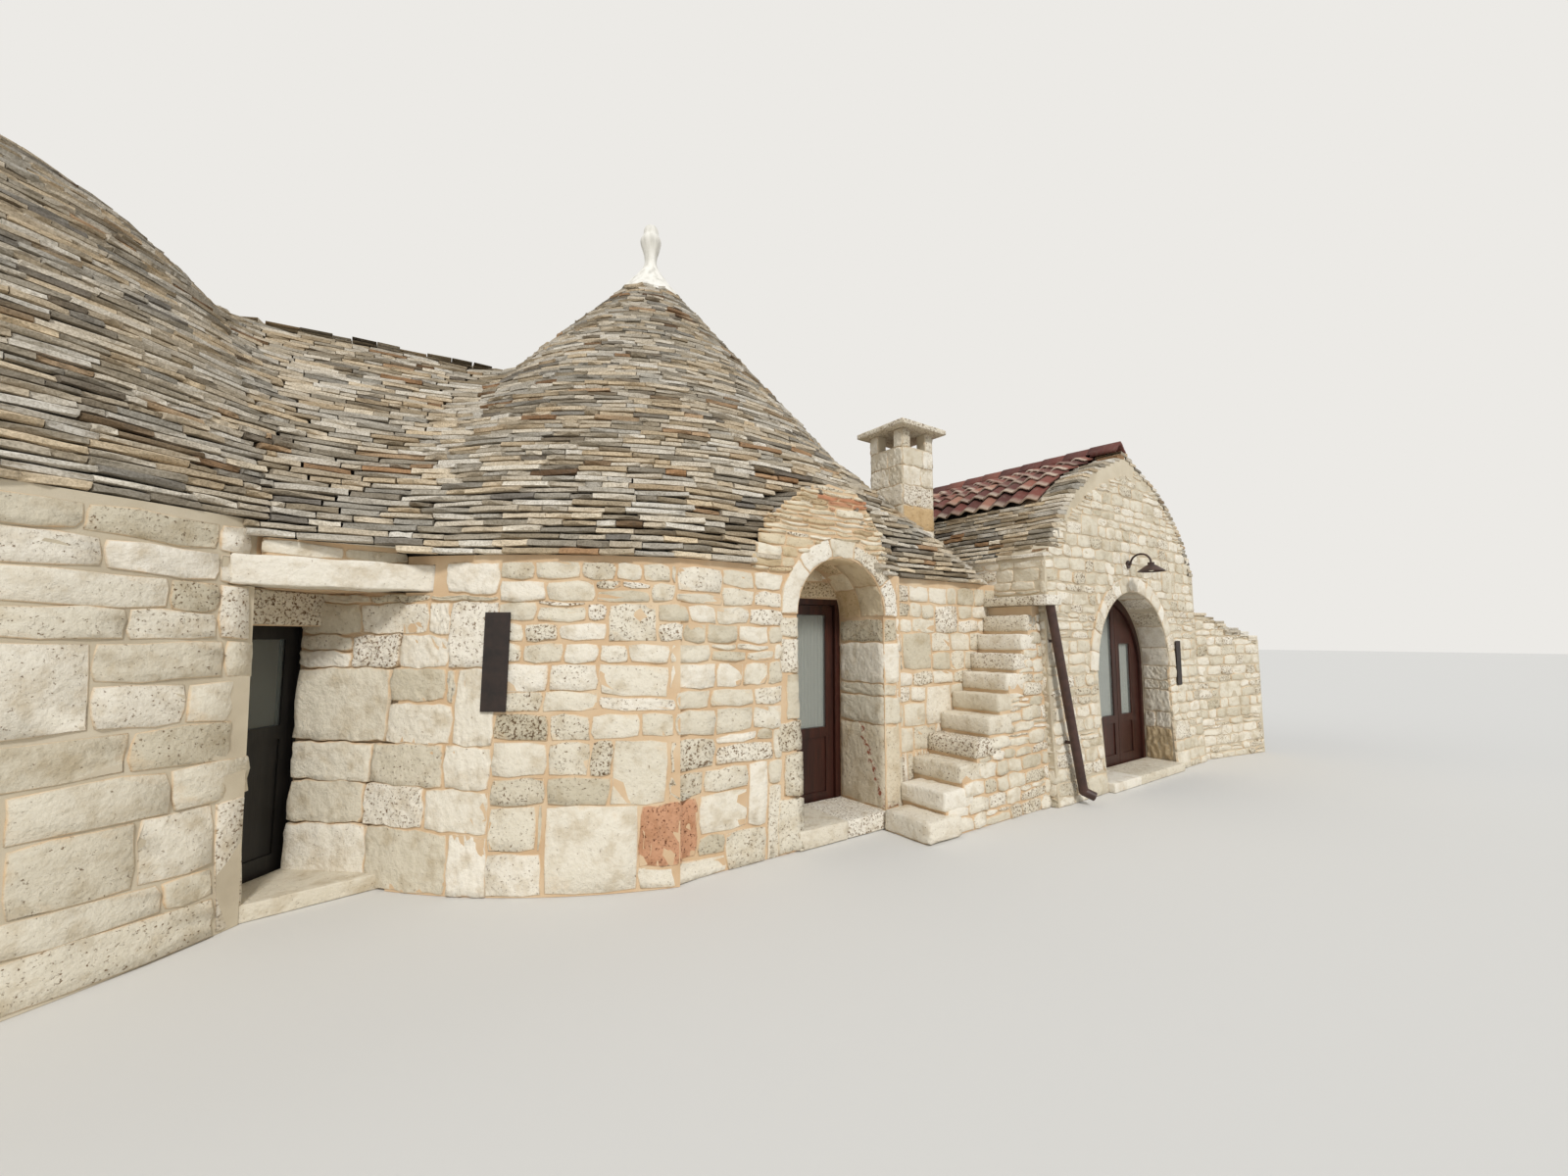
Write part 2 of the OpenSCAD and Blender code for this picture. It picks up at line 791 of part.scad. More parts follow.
// Middle door
mid_leaf_w = mid_door_w - 2 * frame_w - 2 * leaf_gap;
module at_mid_hinge() {
  translate([mid_x0 + frame_w + leaf_gap / 2, -mid_door_y + frame_d + hinge_off, 0]) children();
}
module middle_door_leaf() color(timber) at_mid_hinge() leaf(mid_leaf_w, mid_door_top, mid_glass_z);
module middle_door_glass() color(pane) at_mid_hinge() leaf_pane(mid_leaf_w, mid_door_top, mid_glass_z);
module middle_curtain() color(plaster) at_mid_hinge() leaf_curtain(mid_leaf_w, mid_door_top, mid_glass_z);
module middle_door_frame() color(timber) {
  difference() {
    translate([mid_x0, -mid_door_y, floor_t]) cube([mid_door_w, frame_d, mid_door_top + frame_w - floor_t]);
    translate([mid_x0 + frame_w, -mid_door_y - 1, 0])
      cube([mid_door_w - 2 * frame_w, frame_d + 2, mid_door_top + leaf_gap]);
  }
  at_mid_hinge() frame_knuckles();
}

// Gabled room

lamia_x1 = lamia_x0 + lamia_w;
half_w = lamia_w / 2;
function gable_outline(t) = [
  [-half_w, lamia_eave - t * 0.6], [-half_w * 0.9 + t * 0.8, lamia_eave + 350 - t * 0.6],
  [-half_w * 0.735 + t * 0.7, lamia_eave + 700 - t * 0.7],
  [-half_w * 0.49 + t * 0.45, lamia_ridge - 360 - t * 0.9], [0, lamia_ridge - t],
  [half_w * 0.49 - t * 0.45, lamia_ridge - 360 - t * 0.9],
  [half_w * 0.735 - t * 0.7, lamia_eave + 700 - t * 0.7],
  [half_w * 0.9 - t * 0.8, lamia_eave + 350 - t * 0.6], [half_w, lamia_eave - t * 0.6]
];

// Gable-shaped solid between two heights, from y0 to y1
module gable_block(y0, y1, z0, t) {
  translate([lamia_cx, 0, 0]) prism_y(y0, y1, concat(
    [[-half_w, z0]], gable_outline(t), [[half_w, z0]]));
}

module lamia_solid() {
  gable_block(-lamia_front, lamia_back, 0, 0);
  gable_block(-lamia_front - cover_out, lamia_back + cover_out, lamia_eave - cover_t * 0.6, 0);
}

cover_out = 20;
arch_niche = 80;
niche_y = lamia_front - arch_d;
inner_y = lamia_front - lamia_front_t;
door_r = arch_r - 60;
door_cz = arch_spring - 40;
niche_h = arch_spring + arch_r + 80;

module pier(x0, x1) {
  prism_x(x0, x1, [
    [-inner_y, 0], [-lamia_front - batter, 0], [-lamia_front - batter / 4, arch_spring * 0.6],
    [-lamia_front, arch_spring], [-inner_y, arch_spring]
  ]);
}
module arch_niche_cut() {
  translate([arch_cx - arch_r - arch_niche, -niche_y, -1])
    cube([2 * (arch_r + arch_niche), lamia_front_t, niche_h + 1]);
}
module gable_pier_left() color(limestone) difference() {
  pier(lamia_x0, arch_cx - arch_r);
  arch_niche_cut();
}
module gable_pier_right() color(limestone) difference() {
  pier(arch_cx + arch_r, lamia_x1);
  arch_niche_cut();
}

ring_proud = 12;
module gable_arch_disc(r, y0) {
  intersection() {
    translate([arch_cx, -y0, arch_spring]) rotate([90, 0, 0]) cylinder(r = r, h = 1000);
    translate([arch_cx - r, -lamia_front - 1000, arch_spring]) cube([2 * r, 2000, 2 * r]);
  }
}
module gable_front() color(limestone) difference() {
  gable_block(-lamia_front, -inner_y, arch_spring, cover_t);
  gable_arch_disc(arch_r + arch_ring, niche_y);
  arch_niche_cut();
}
module gable_arch() color(limestone) difference() {
  intersection() {
    gable_arch_disc(arch_r + arch_ring, niche_y);
    translate([0, -lamia_front - ring_proud, 0]) cube([far, far, far]);
  }
  gable_arch_disc(arch_r, niche_y - 10);
}

module gable_wall_left() color(limestone)
  translate([lamia_x0, -inner_y, 0]) cube([lamia_wall, inner_y + lamia_back - lamia_wall, vault_spring]);
module gable_wall_right() color(limestone)
  translate([lamia_x1 - lamia_wall, -inner_y, 0])
    cube([lamia_wall, inner_y + lamia_back - lamia_wall, vault_spring]);
module gable_wall_rear() color(limestone)
  gable_block(lamia_back - lamia_wall, lamia_back, 0, cover_t);

module gable_vault() color(mortar) difference() {
  gable_block(-inner_y, lamia_back - lamia_wall, vault_spring, cover_t);
  translate([lamia_cx, lamia_back, vault_spring]) rotate([90, 0, 0])
    cylinder(r = half_w - lamia_wall, h = 2 * lamia_front);
}

tile_z = lamia_eave + 650;
verge_w = 300;
module gable_cover() {
  difference() {
    gable_block(-lamia_front - cover_out, lamia_back + cover_out, lamia_eave - cover_t * 0.6, 0);
    gable_block(-lamia_front - 30, lamia_back + 30, lamia_eave - cover_t, cover_t);
  }
}
module tile_zone() {
  translate([0, -lamia_front + verge_w, tile_z])
    cube([far, lamia_front + lamia_back - 2 * verge_w, 2000]);
}
module gable_tiles() color(tile) intersection() {
  gable_cover();
  tile_zone();
}
module gable_slates() color(slate) difference() {
  gable_cover();
  tile_zone();
}

module gable_floor() color(mortar) union() {
  translate([lamia_x0 + lamia_wall, -inner_y, 0])
    cube([lamia_w - 2 * lamia_wall, inner_y + lamia_back - lamia_wall, floor_t]);
  translate([arch_cx - arch_r - arch_niche, -niche_y, 0])
    cube([2 * (arch_r + arch_niche), niche_y - inner_y, floor_t]);
}

// Round-headed outline r wide on each side, down to z0
module arch_outline(r, z0) {
  translate([0, door_cz]) circle(r = r);
  translate([-r, z0]) square([2 * r, door_cz - z0]);
}
module gable_door_frame() color(timber) {
  translate([arch_cx, -niche_y + frame_d, 0]) rotate([90, 0, 0]) linear_extrude(frame_d)
    difference() {
      arch_outline(arch_r + frame_w, floor_t);
      arch_outline(door_r, floor_t - 1);
    }
  for (s = [0, 1]) at_gable_hinge(s) frame_knuckles();
}

// Hinge axes of the two arched leaves: s = 0 is the left leaf, s = 1 the right one
module at_gable_hinge(s) {
  translate([arch_cx, -niche_y + frame_d + hinge_off, 0]) mirror([s, 0, 0])
    translate([-door_r + leaf_gap / 2, 0, 0]) children();
}
// The left leaf is the wide one; the narrow one has a broad hinge stile and a level-headed pane
meet_gap = 8;
narrow_stile_w = 200;
narrow_glass_top = door_cz + 320;
function arch_leaf_w(s) = door_r - leaf_gap - meet_gap / 2 + (s == 0 ? leaf_meet : -leaf_meet);
function hinge_stile_w(s) = s == 0 ? stile_w : narrow_stile_w;
module arch_leaf_shape(s) {
  intersection() {
    translate([door_r - leaf_gap / 2, 0]) arch_outline(door_r - leaf_gap, leaf_bottom);
    translate([leaf_gap / 2, leaf_bottom]) square([arch_leaf_w(s), far]);
  }
}
module arch_pane_shape(s) {
  intersection() {
    translate([door_r - leaf_gap / 2, 0]) arch_outline(door_r - leaf_gap - stile_w, lamia_glass_z);
    translate([leaf_gap / 2 + hinge_stile_w(s), lamia_glass_z])
      square([arch_leaf_w(s) - hinge_stile_w(s) - stile_w, s == 0 ? far : narrow_glass_top - lamia_glass_z]);
  }
}
module arch_leaf(s) {
  t0 = -hinge_off - leaf_t;
  difference() {
    translate([0, t0 + leaf_t, 0]) rotate([90, 0, 0]) linear_extrude(leaf_t)
      arch_leaf_shape(s);
    translate([0, t0 + leaf_t + 1, 0]) rotate([90, 0, 0]) linear_extrude(leaf_t + 2)
      arch_pane_shape(s);
    for (y = [t0 - 1, t0 + leaf_t - 14])
      translate([leaf_gap / 2 + hinge_stile_w(s), y, leaf_bottom + 1.4 * stile_w])
        cube([arch_leaf_w(s) - hinge_stile_w(s) - stile_w, 15, lamia_glass_z - leaf_bottom - 2.4 * stile_w]);
  }
  leaf_knuckles();
}
module arch_pane(s, y, t) {
  translate([0, -hinge_off - leaf_t + y + t, 0]) rotate([90, 0, 0]) linear_extrude(t)
    arch_pane_shape(s);
}
module gable_leaf_left() color(timber) at_gable_hinge(0) arch_leaf(0);
module gable_leaf_right() color(timber) at_gable_hinge(1) arch_leaf(1);
module gable_glass_left() color(pane) at_gable_hinge(0) arch_pane(0, pane_back, pane_t);
module gable_glass_right() color(pane) at_gable_hinge(1) arch_pane(1, pane_back, pane_t);
module gable_curtain_left() color(plaster) at_gable_hinge(0) arch_pane(0, curtain_back, curtain_t);
module gable_curtain_right() color(plaster) at_gable_hinge(1) arch_pane(1, curtain_back, curtain_t);

// Chimney

chimney_x = lamia_x0 - 700;
chimney_y = 650 - stair_front;
flue_t = 120;
post_w = 130;
flue_h = 700;
module chimney_box() {
  translate([chimney_x, chimney_y, mid_wall_h]) cube([chimney_w, chimney_d, chimney_h - mid_wall_h]);
}
module chimney_stack() color(limestone) difference() {
  translate([chimney_x, chimney_y, mid_wall_h])
    cube([chimney_w, chimney_d, chimney_h + chimney_gap - mid_wall_h]);
  translate([chimney_x + flue_t, chimney_y + flue_t, chimney_h - flue_h])
    cube([chimney_w - 2 * flue_t, chimney_d - 2 * flue_t, 2 * flue_h]);
  translate([chimney_x - 1, chimney_y + post_w, chimney_h])
    cube([chimney_w + 2, chimney_d - 2 * post_w, flue_h]);
  translate([chimney_x + post_w, chimney_y - 1, chimney_h])
    cube([chimney_w - 2 * post_w, chimney_d + 2, flue_h]);
}

// Low pyramid on a slab, cut from two crossing prisms
cap_t = 60;
cap_h = 110;
cap_flat = 120;
module chimney_cap() color(limestone)
  translate([chimney_x + chimney_w / 2, chimney_y + chimney_d / 2, chimney_h + chimney_gap])
    intersection() {
      prism_y(-cap_w / 2, cap_w / 2, cap_section());
      prism_x(-cap_w / 2, cap_w / 2, cap_section());
    }
function cap_section() = [
  [-cap_w / 2, 0], [-cap_w / 2, cap_t], [-cap_flat / 2, cap_t + cap_h], [cap_flat / 2, cap_t + cap_h],
  [cap_w / 2, cap_t], [cap_w / 2, 0]
];

// Stair against the middle room's front

stair_x0 = mid_x1 - 50;
function going(i) = first_going - going_less * i;
function riser_x(i) = i <= 0 ? stair_x0 : riser_x(i - 1) + going(i - 1);
stair_y = stair_front + stair_w;

// The wall's face left of the stair's straight stretch, and the doorstep, which the stair meets
module stair_seat() {
  translate([mid_flat_x0, -mid_front, -1]) cube([mid_flat_x1 - mid_flat_x0, mid_front, far]);
  translate([mid_x0, -mid_front - step_out, -1]) cube([mid_door_w, mid_front, far]);
}
module stair_flank() color(limestone) difference() {
  stair_mass();
  stair_seat();
}
module stair_mass() intersection() {
  prism_y(-stair_y - batter, -stair_front, concat(
    [[stair_x0, 0], [lamia_x0, 0], [lamia_x0, stair_h - tread_t]],
    [for (i = [stair_n - 1:-1:0]) for (k = [0, 1])
      [riser_x(i), max(0, (i + 1 - k) * rise - tread_t)]]
  ));
  prism_x(stair_x0 - 10, lamia_x0 + 10, [
    [-stair_front, 0], [-stair_y - batter, 0], [-stair_y, stair_h], [-stair_front, stair_h]
  ]);
}
// The lowest tread stands further out on its open side
first_out = 60;
module stair_treads() color(limestone) difference() {
  for (i = [0:stair_n - 2]) let (out = nosing + (i == 0 ? first_out : 0))
    translate([riser_x(i) - nosing, -stair_y - out, (i + 1) * rise - tread_t])
      cube([riser_x(i + 1) - riser_x(i) + nosing, stair_w + out, tread_t]);
  stair_seat();
}

// The landing's slab and the spout slab that runs on along the gabled front
spout_in = 100;
spout_l = 270;
spout_w = 150;
module landing_spout() color(limestone) union() {
  top_x = riser_x(stair_n - 1);
  translate([top_x - nosing, -stair_y - nosing, stair_h - tread_t])
    cube([lamia_x0 - top_x + nosing, stair_w + nosing, tread_t]);
  translate([top_x - spout_in, -lamia_front - spout_w, stair_h - tread_t])
    cube([spout_l, spout_w, tread_t]);
  translate([top_x - spout_in, -lamia_front - 10, stair_h - tread_t])
    cube([lamia_x0 - top_x + spout_in, lamia_front - stair_y + 10, tread_t]);
}

// Drainpipe from the spout down to a shoe at the wall's foot, held by two brackets
pipe_top = [lamia_x0 - 50, -lamia_front - 75, stair_h - tread_t];
pipe_foot = [lamia_x0 + 310, -lamia_front - 145, 130];
shoe_l = 110;
bracket_w = 24;
bracket_h = 30;
module drainpipe() color(metal) {
  run = pipe_foot - pipe_top;
  tilt = atan2(norm([run[0], run[1]]), -run[2]);
  turn = atan2(run[1], run[0]);
  intersection() {
    translate(pipe_top) rotate([0, 180 - tilt, turn])
      translate([0, 0, -pipe_d]) cylinder(d = pipe_d, h = norm(run) + pipe_d);
    translate([0, -far, 0]) cube([far, far, stair_h - tread_t]);
  }
  translate(pipe_foot) sphere(d = pipe_d * 1.02, $fn = small_fn);
  translate(pipe_foot) rotate([0, 115, -50]) cylinder(d = pipe_d, h = shoe_l);
  difference() {
    for (s = [0.25, 0.8]) translate(pipe_foot - run * s)
      translate([-bracket_w / 2, 0, 0]) cube([bracket_w, -pipe_foot[1] - inner_y, bracket_h]);
    pier(lamia_x0, arch_cx - arch_r);
    translate([lamia_x0, -lamia_front, 0]) cube([lamia_w, lamia_front, lamia_eave]);
  }
}

// Wall lamp over the archway

lamp_x = arch_cx - 100;
lamp_z = arch_spring + arch_r + 320;
rose_r = 48;
rose_t = 20;
stem_l = 40;
neck_r = 110;
neck_d = 22;
cup_h = 30;
// Shade and bulb outlines, as shares of the shade's diameter
shade_profile = [
  [0, 0.018], [0.121, 0], [0.121, -0.089], [0.214, -0.136], [0.5, -0.357], [0.5, -0.371],
  [0.207, -0.154]
];
bulb_profile = [
  [0.05, 0], [0.057, -0.057], [0.1, -0.121], [0.107, -0.179], [0.079, -0.243], [0, -0.271]
];
module wall_lamp() color(metal) translate([lamp_x, -lamia_front, lamp_z]) {
  rotate([90, 0, 0]) cylinder(r = rose_r, h = rose_t);
  rotate([90, 0, 0]) cylinder(d = neck_d, h = stem_l);
  translate([0, -stem_l - neck_r, 0]) rotate([90, 0, 90])
    rotate_extrude(angle = 180) translate([neck_r, 0]) circle(d = neck_d, $fn = 24);
  translate([0, -stem_l, 0]) sphere(d = neck_d, $fn = small_fn);
  translate([0, -stem_l - 2 * neck_r, 0]) rotate_extrude() polygon(concat(
    [for (p = shade_profile) p * shade_d], [[neck_d, -cup_h], [0, -cup_h]]
  ));
}
module lamp_bulb() color("#f5f0dc")
  translate([lamp_x, -lamia_front - stem_l - 2 * neck_r, lamp_z - cup_h]) rotate_extrude()
    polygon(concat([[0, 0]], [for (p = bulb_profile) p * shade_d]));

// Blank sign plates: one on the middle room, one on the gabled front
sign_a = -128.3;
sign_z = 1160;
sign_t = 8;
peg_r = 9;
peg_l = 20;
sign_edge = 80;
small_sign_w = 130;
small_sign_x = lamia_x1 - 705;
small_sign_z = arch_spring - 245;
module sign_plates() color(metal) {
  lean = atan(batter / mid_wall_h);
  rotate([0, 0, sign_a]) translate([mid_r + batter * (1 - sign_z / mid_wall_h), 0, sign_z])
    rotate([0, -lean, 0]) {
      translate([peg_l, -sign_w / 2, 0]) cube([sign_t, sign_w, sign_h]);
      for (z = [sign_edge, sign_h - sign_edge]) translate([0, 0, z]) rotate([0, 90, 0])
        cylinder(r = peg_r, h = peg_l + 2);
    }
  // The narrower plate's pegs are both above the pier's lean
  translate([small_sign_x, -lamia_front - peg_l - sign_t, small_sign_z])
    cube([small_sign_w, sign_t, small_sign_h]);
  for (z = [arch_spring + 40, small_sign_z + small_sign_h - 60])
    translate([small_sign_x + small_sign_w / 2, -lamia_front, z]) rotate([90, 0, 0])
      cylinder(r = peg_r, h = peg_l + 2);
}

// Low wall at the right end, with a slate coping
annex_t = 800;
annex_skew = 300;
coping_t = 70;
coping_out = 40;
module annex_plan(out) {
  polygon([
    [lamia_x1, -lamia_front - out], [lamia_x1 + annex_l + out, -lamia_front - annex_skew - out],
    [lamia_x1 + annex_l + out, -lamia_front - annex_skew + annex_t + out],
    [lamia_x1, -lamia_front + annex_t + out]
  ]);
}
module low_wall() color(limestone) intersection() {
  linear_extrude(2 * annex_h) annex_plan(0);
  prism_y(-far / 2, 0, [
    [lamia_x1, 0], [lamia_x1 + annex_l, 0], [lamia_x1 + annex_l, annex_h - annex_drop],
    [lamia_x1, annex_h]
  ]);
}
module low_wall_coping() color(slate) intersection() {
  linear_extrude(2 * annex_h) annex_plan(coping_out);
  prism_y(-far / 2, 0, [
    [lamia_x1, annex_h], [lamia_x1 + 2 * annex_l, annex_h - 2 * annex_drop],
    [lamia_x1 + 2 * annex_l, annex_h - 2 * annex_drop + coping_t], [lamia_x1, annex_h + coping_t]
  ]);
}

left_wall_front();
left_wall_rear();
left_wall_party();
left_door_head();
left_lintel();
left_door_frame();
left_door_leaf();
left_door_glass();
left_dome();
left_slates();
left_floor();
saddle_core();
saddle_slates();
saddle_wall_rear();
middle_wall_left();
middle_wall_right();
middle_wall_rear();
middle_door_head();
middle_arch();
middle_door_frame();
middle_door_leaf();
middle_door_glass();
middle_curtain();
middle_dome();
middle_slates();
middle_hood();
middle_floor();
pinnacles();
thresholds();
chimney_stack();
chimney_cap();
stair_flank();
stair_treads();
landing_spout();
drainpipe();
gable_pier_left();
gable_pier_right();
gable_front();
gable_arch();
gable_wall_left();
gable_wall_right();
gable_wall_rear();
gable_vault();
gable_slates();
gable_tiles();
gable_floor();
gable_door_frame();
gable_leaf_left();
gable_leaf_right();
gable_glass_left();
gable_glass_right();
gable_curtain_left();
gable_curtain_right();
wall_lamp();
lamp_bulb();
sign_plates();
low_wall();
low_wall_coping();
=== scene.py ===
import math

import bmesh
import bpy
import numpy as np
from mathutils import Matrix, Vector


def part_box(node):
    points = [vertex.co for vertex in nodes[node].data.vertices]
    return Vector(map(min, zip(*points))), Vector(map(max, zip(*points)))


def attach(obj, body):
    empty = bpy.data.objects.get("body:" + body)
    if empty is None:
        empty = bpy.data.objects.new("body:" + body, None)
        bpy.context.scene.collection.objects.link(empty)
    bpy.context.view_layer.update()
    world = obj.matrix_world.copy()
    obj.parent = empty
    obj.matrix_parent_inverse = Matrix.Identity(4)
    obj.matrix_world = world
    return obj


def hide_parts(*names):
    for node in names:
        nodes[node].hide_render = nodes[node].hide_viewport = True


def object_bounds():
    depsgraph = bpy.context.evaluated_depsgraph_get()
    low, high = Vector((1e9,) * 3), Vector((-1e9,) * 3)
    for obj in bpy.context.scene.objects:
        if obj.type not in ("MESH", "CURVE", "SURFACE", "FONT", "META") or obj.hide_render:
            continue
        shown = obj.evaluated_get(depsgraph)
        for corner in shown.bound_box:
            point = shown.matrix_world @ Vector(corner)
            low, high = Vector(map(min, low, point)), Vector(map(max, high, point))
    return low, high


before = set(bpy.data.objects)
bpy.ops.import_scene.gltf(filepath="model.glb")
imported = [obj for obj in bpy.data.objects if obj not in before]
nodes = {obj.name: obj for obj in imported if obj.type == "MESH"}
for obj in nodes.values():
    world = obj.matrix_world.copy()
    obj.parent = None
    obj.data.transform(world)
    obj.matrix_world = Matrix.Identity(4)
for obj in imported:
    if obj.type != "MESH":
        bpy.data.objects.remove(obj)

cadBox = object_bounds()

# Sizes of the house in metres, as in the part's source
house = {
    "middleRadius": 3.45, "middleWall": 2.2, "middleFront": 3.27, "stairFront": 3.2,
    "coneTop": 6.5, "conePitch": 1.15, "footPitch": 2.2, "footRise": 0.05,
    "flareTop": 5.79, "flarePitch": 0.87, "flatStart": -1.1, "flatEnd": 1.1,
    "leftRadius": 4.06, "leftWall": 2.35, "leftX": -6.3, "leftY": 0.6,
    "leftCrown": 5.5, "leftPitch": 1.31, "leftPower": 5.0,
    "saddleRidge": 4.66, "saddleHalf": 2.7, "saddleEave": 2.25, "saddleRound": 0.1,
    "batter": 0.06, "eaveOut": 0.06,
    "doorAngle": math.radians(-42), "doorNear": -0.215, "doorFar": 0.385, "doorFace": 3.8,
    "gableX": 2.66, "gableWidth": 3.68, "gableFront": 3.78, "gableBack": 1.6,
    "gableRidge": 3.88, "gableEave": 2.5, "archX": 4.55, "archRadius": 0.9, "archSpring": 1.28,
    "archRing": 0.16, "archDepth": 0.32,
    "midDoorX": 0.405, "midDoorWidth": 0.97, "midSpring": 1.83, "midRing": 0.14, "midDoorY": 2.68,
}
leftAxis = np.array([house["leftX"], house["leftY"]])
axisGap = float(np.hypot(*leftAxis))
towardsLeft = leftAxis / axisGap
towardsFront = np.array([-towardsLeft[1], towardsLeft[0]])


# Camera: the photo's own place, a very wide lens a little above eye height
def makeCamera():
    data = bpy.data.cameras.new("photoCamera")
    data.sensor_width = 36.0
    data.lens = 13.57
    data.clip_end = 200.0
    camera = bpy.data.objects.new("photoCamera", data)
    bpy.context.scene.collection.objects.link(camera)
    camera.location = (-2.93, -7.02, 1.65)
    camera.rotation_euler = (math.radians(90 + 4.7), 0, math.radians(-36))
    bpy.context.scene.camera = camera


makeCamera()
print("camera placed")


# Materials

def hexColour(code):
    # sRGB hex to linear
    parts = [int(code[i:i + 2], 16) / 255 for i in (1, 3, 5)]
    return [c / 12.92 if c <= 0.04045 else ((c + 0.055) / 1.055) ** 2.4 for c in parts] + [1.0]


def addNode(tree, kind, links=None, stops=None, **settings):
    # One node, with its settings, its values or links by socket, and a ramp's stops
    node = tree.nodes.new(kind)
    for key, value in settings.items():
        setattr(node, key, value)
    for socket, source in (links or {}).items():
        if isinstance(source, bpy.types.NodeSocket):
            tree.links.new(source, node.inputs[socket])
        else:
            node.inputs[socket].default_value = source
    if stops:
        ramp = node.color_ramp
        while len(ramp.elements) < len(stops):
            ramp.elements.new(0.5)
        for element, (place, code) in zip(ramp.elements, stops):
            element.position = place
            element.color = hexColour(code)
    return node


def newMaterial(name):
    material = bpy.data.materials.new(name)
    material.use_nodes = True
    tree = material.node_tree
    tree.nodes.clear()
    place = addNode(tree, "ShaderNodeTexCoord").outputs["Object"]
    shader = addNode(tree, "ShaderNodeBsdfPrincipled")
    output = addNode(tree, "ShaderNodeOutputMaterial", {"Surface": shader.outputs["BSDF"]})
    output.name = "out"
    return material, tree, place, shader


def mixColours(tree, factor, first, second, kind="MIX"):
    return addNode(tree, "ShaderNodeMix", {0: factor, 6: first, 7: second},
                   data_type="RGBA", blend_type=kind).outputs[2]


def addBump(tree, shader, heights, distance, strength=1.0):
    # Bumps laid one over another, each with its own height in metres
    normal = None
    for height, size in heights:
        links = {"Height": height, "Distance": size * distance, "Strength": strength}
        if normal is not None:
            links["Normal"] = normal
        normal = addNode(tree, "ShaderNodeBump", links).outputs["Normal"]
    tree.links.new(normal, shader.inputs["Normal"])


# Limestone slabs of the roof: split, weathered grey-white with dark lichen, some stained brown
def makeSlate():
    material, tree, place, shader = newMaterial("weatheredLimestoneSlab")
    shade = addNode(tree, "ShaderNodeAttribute", attribute_name="shade").outputs["Fac"]
    tint = addNode(tree, "ShaderNodeAttribute", attribute_name="tint").outputs["Fac"]
    base = addNode(tree, "ShaderNodeValToRGB", {"Fac": shade}, stops=[
        (0.0, "#77716a"), (0.25, "#a09a8e"), (0.5, "#c4bdb0"), (0.75, "#ddd6c9"), (1.0, "#f2ecdf")])
    rust = addNode(tree, "ShaderNodeValToRGB", {"Fac": tint}, stops=[
        (0.0, "#ffffff"), (0.55, "#fbf3e6"), (0.93, "#f3e2c8"), (1.0, "#c39a74")])
    colour = mixColours(tree, 1.0, base.outputs["Color"], rust.outputs["Color"], "MULTIPLY")
    # Lichen grows in patches about 40 mm across
    lichen = addNode(tree, "ShaderNodeTexNoise", {"Vector": place, "Scale": 22.0, "Detail": 6.0,
                                                  "Roughness": 0.62})
    patches = addNode(tree, "ShaderNodeValToRGB", {"Fac": lichen.outputs["Fac"]}, stops=[
        (0.0, "#000000"), (0.55, "#000000"), (0.69, "#a0a0a0"), (1.0, "#c8c8c8")])
    colour = mixColours(tree, patches.outputs["Color"], colour, hexColour("#5b564e"))
    fine = addNode(tree, "ShaderNodeTexNoise", {"Vector": place, "Scale": 90.0, "Detail": 4.0})
    speckle = addNode(tree, "ShaderNodeValToRGB", {"Fac": fine.outputs["Fac"]}, stops=[
        (0.3, "#a8a396"), (0.6, "#ffffff")])
    colour = mixColours(tree, 0.6, colour, speckle.outputs["Color"], "MULTIPLY")
    tree.links.new(colour, shader.inputs["Base Color"])
    shader.inputs["Roughness"].default_value = 0.9
    addBump(tree, shader, [(lichen.outputs["Fac"], 0.012), (fine.outputs["Fac"], 0.004)], 1.0, 0.8)
    return material


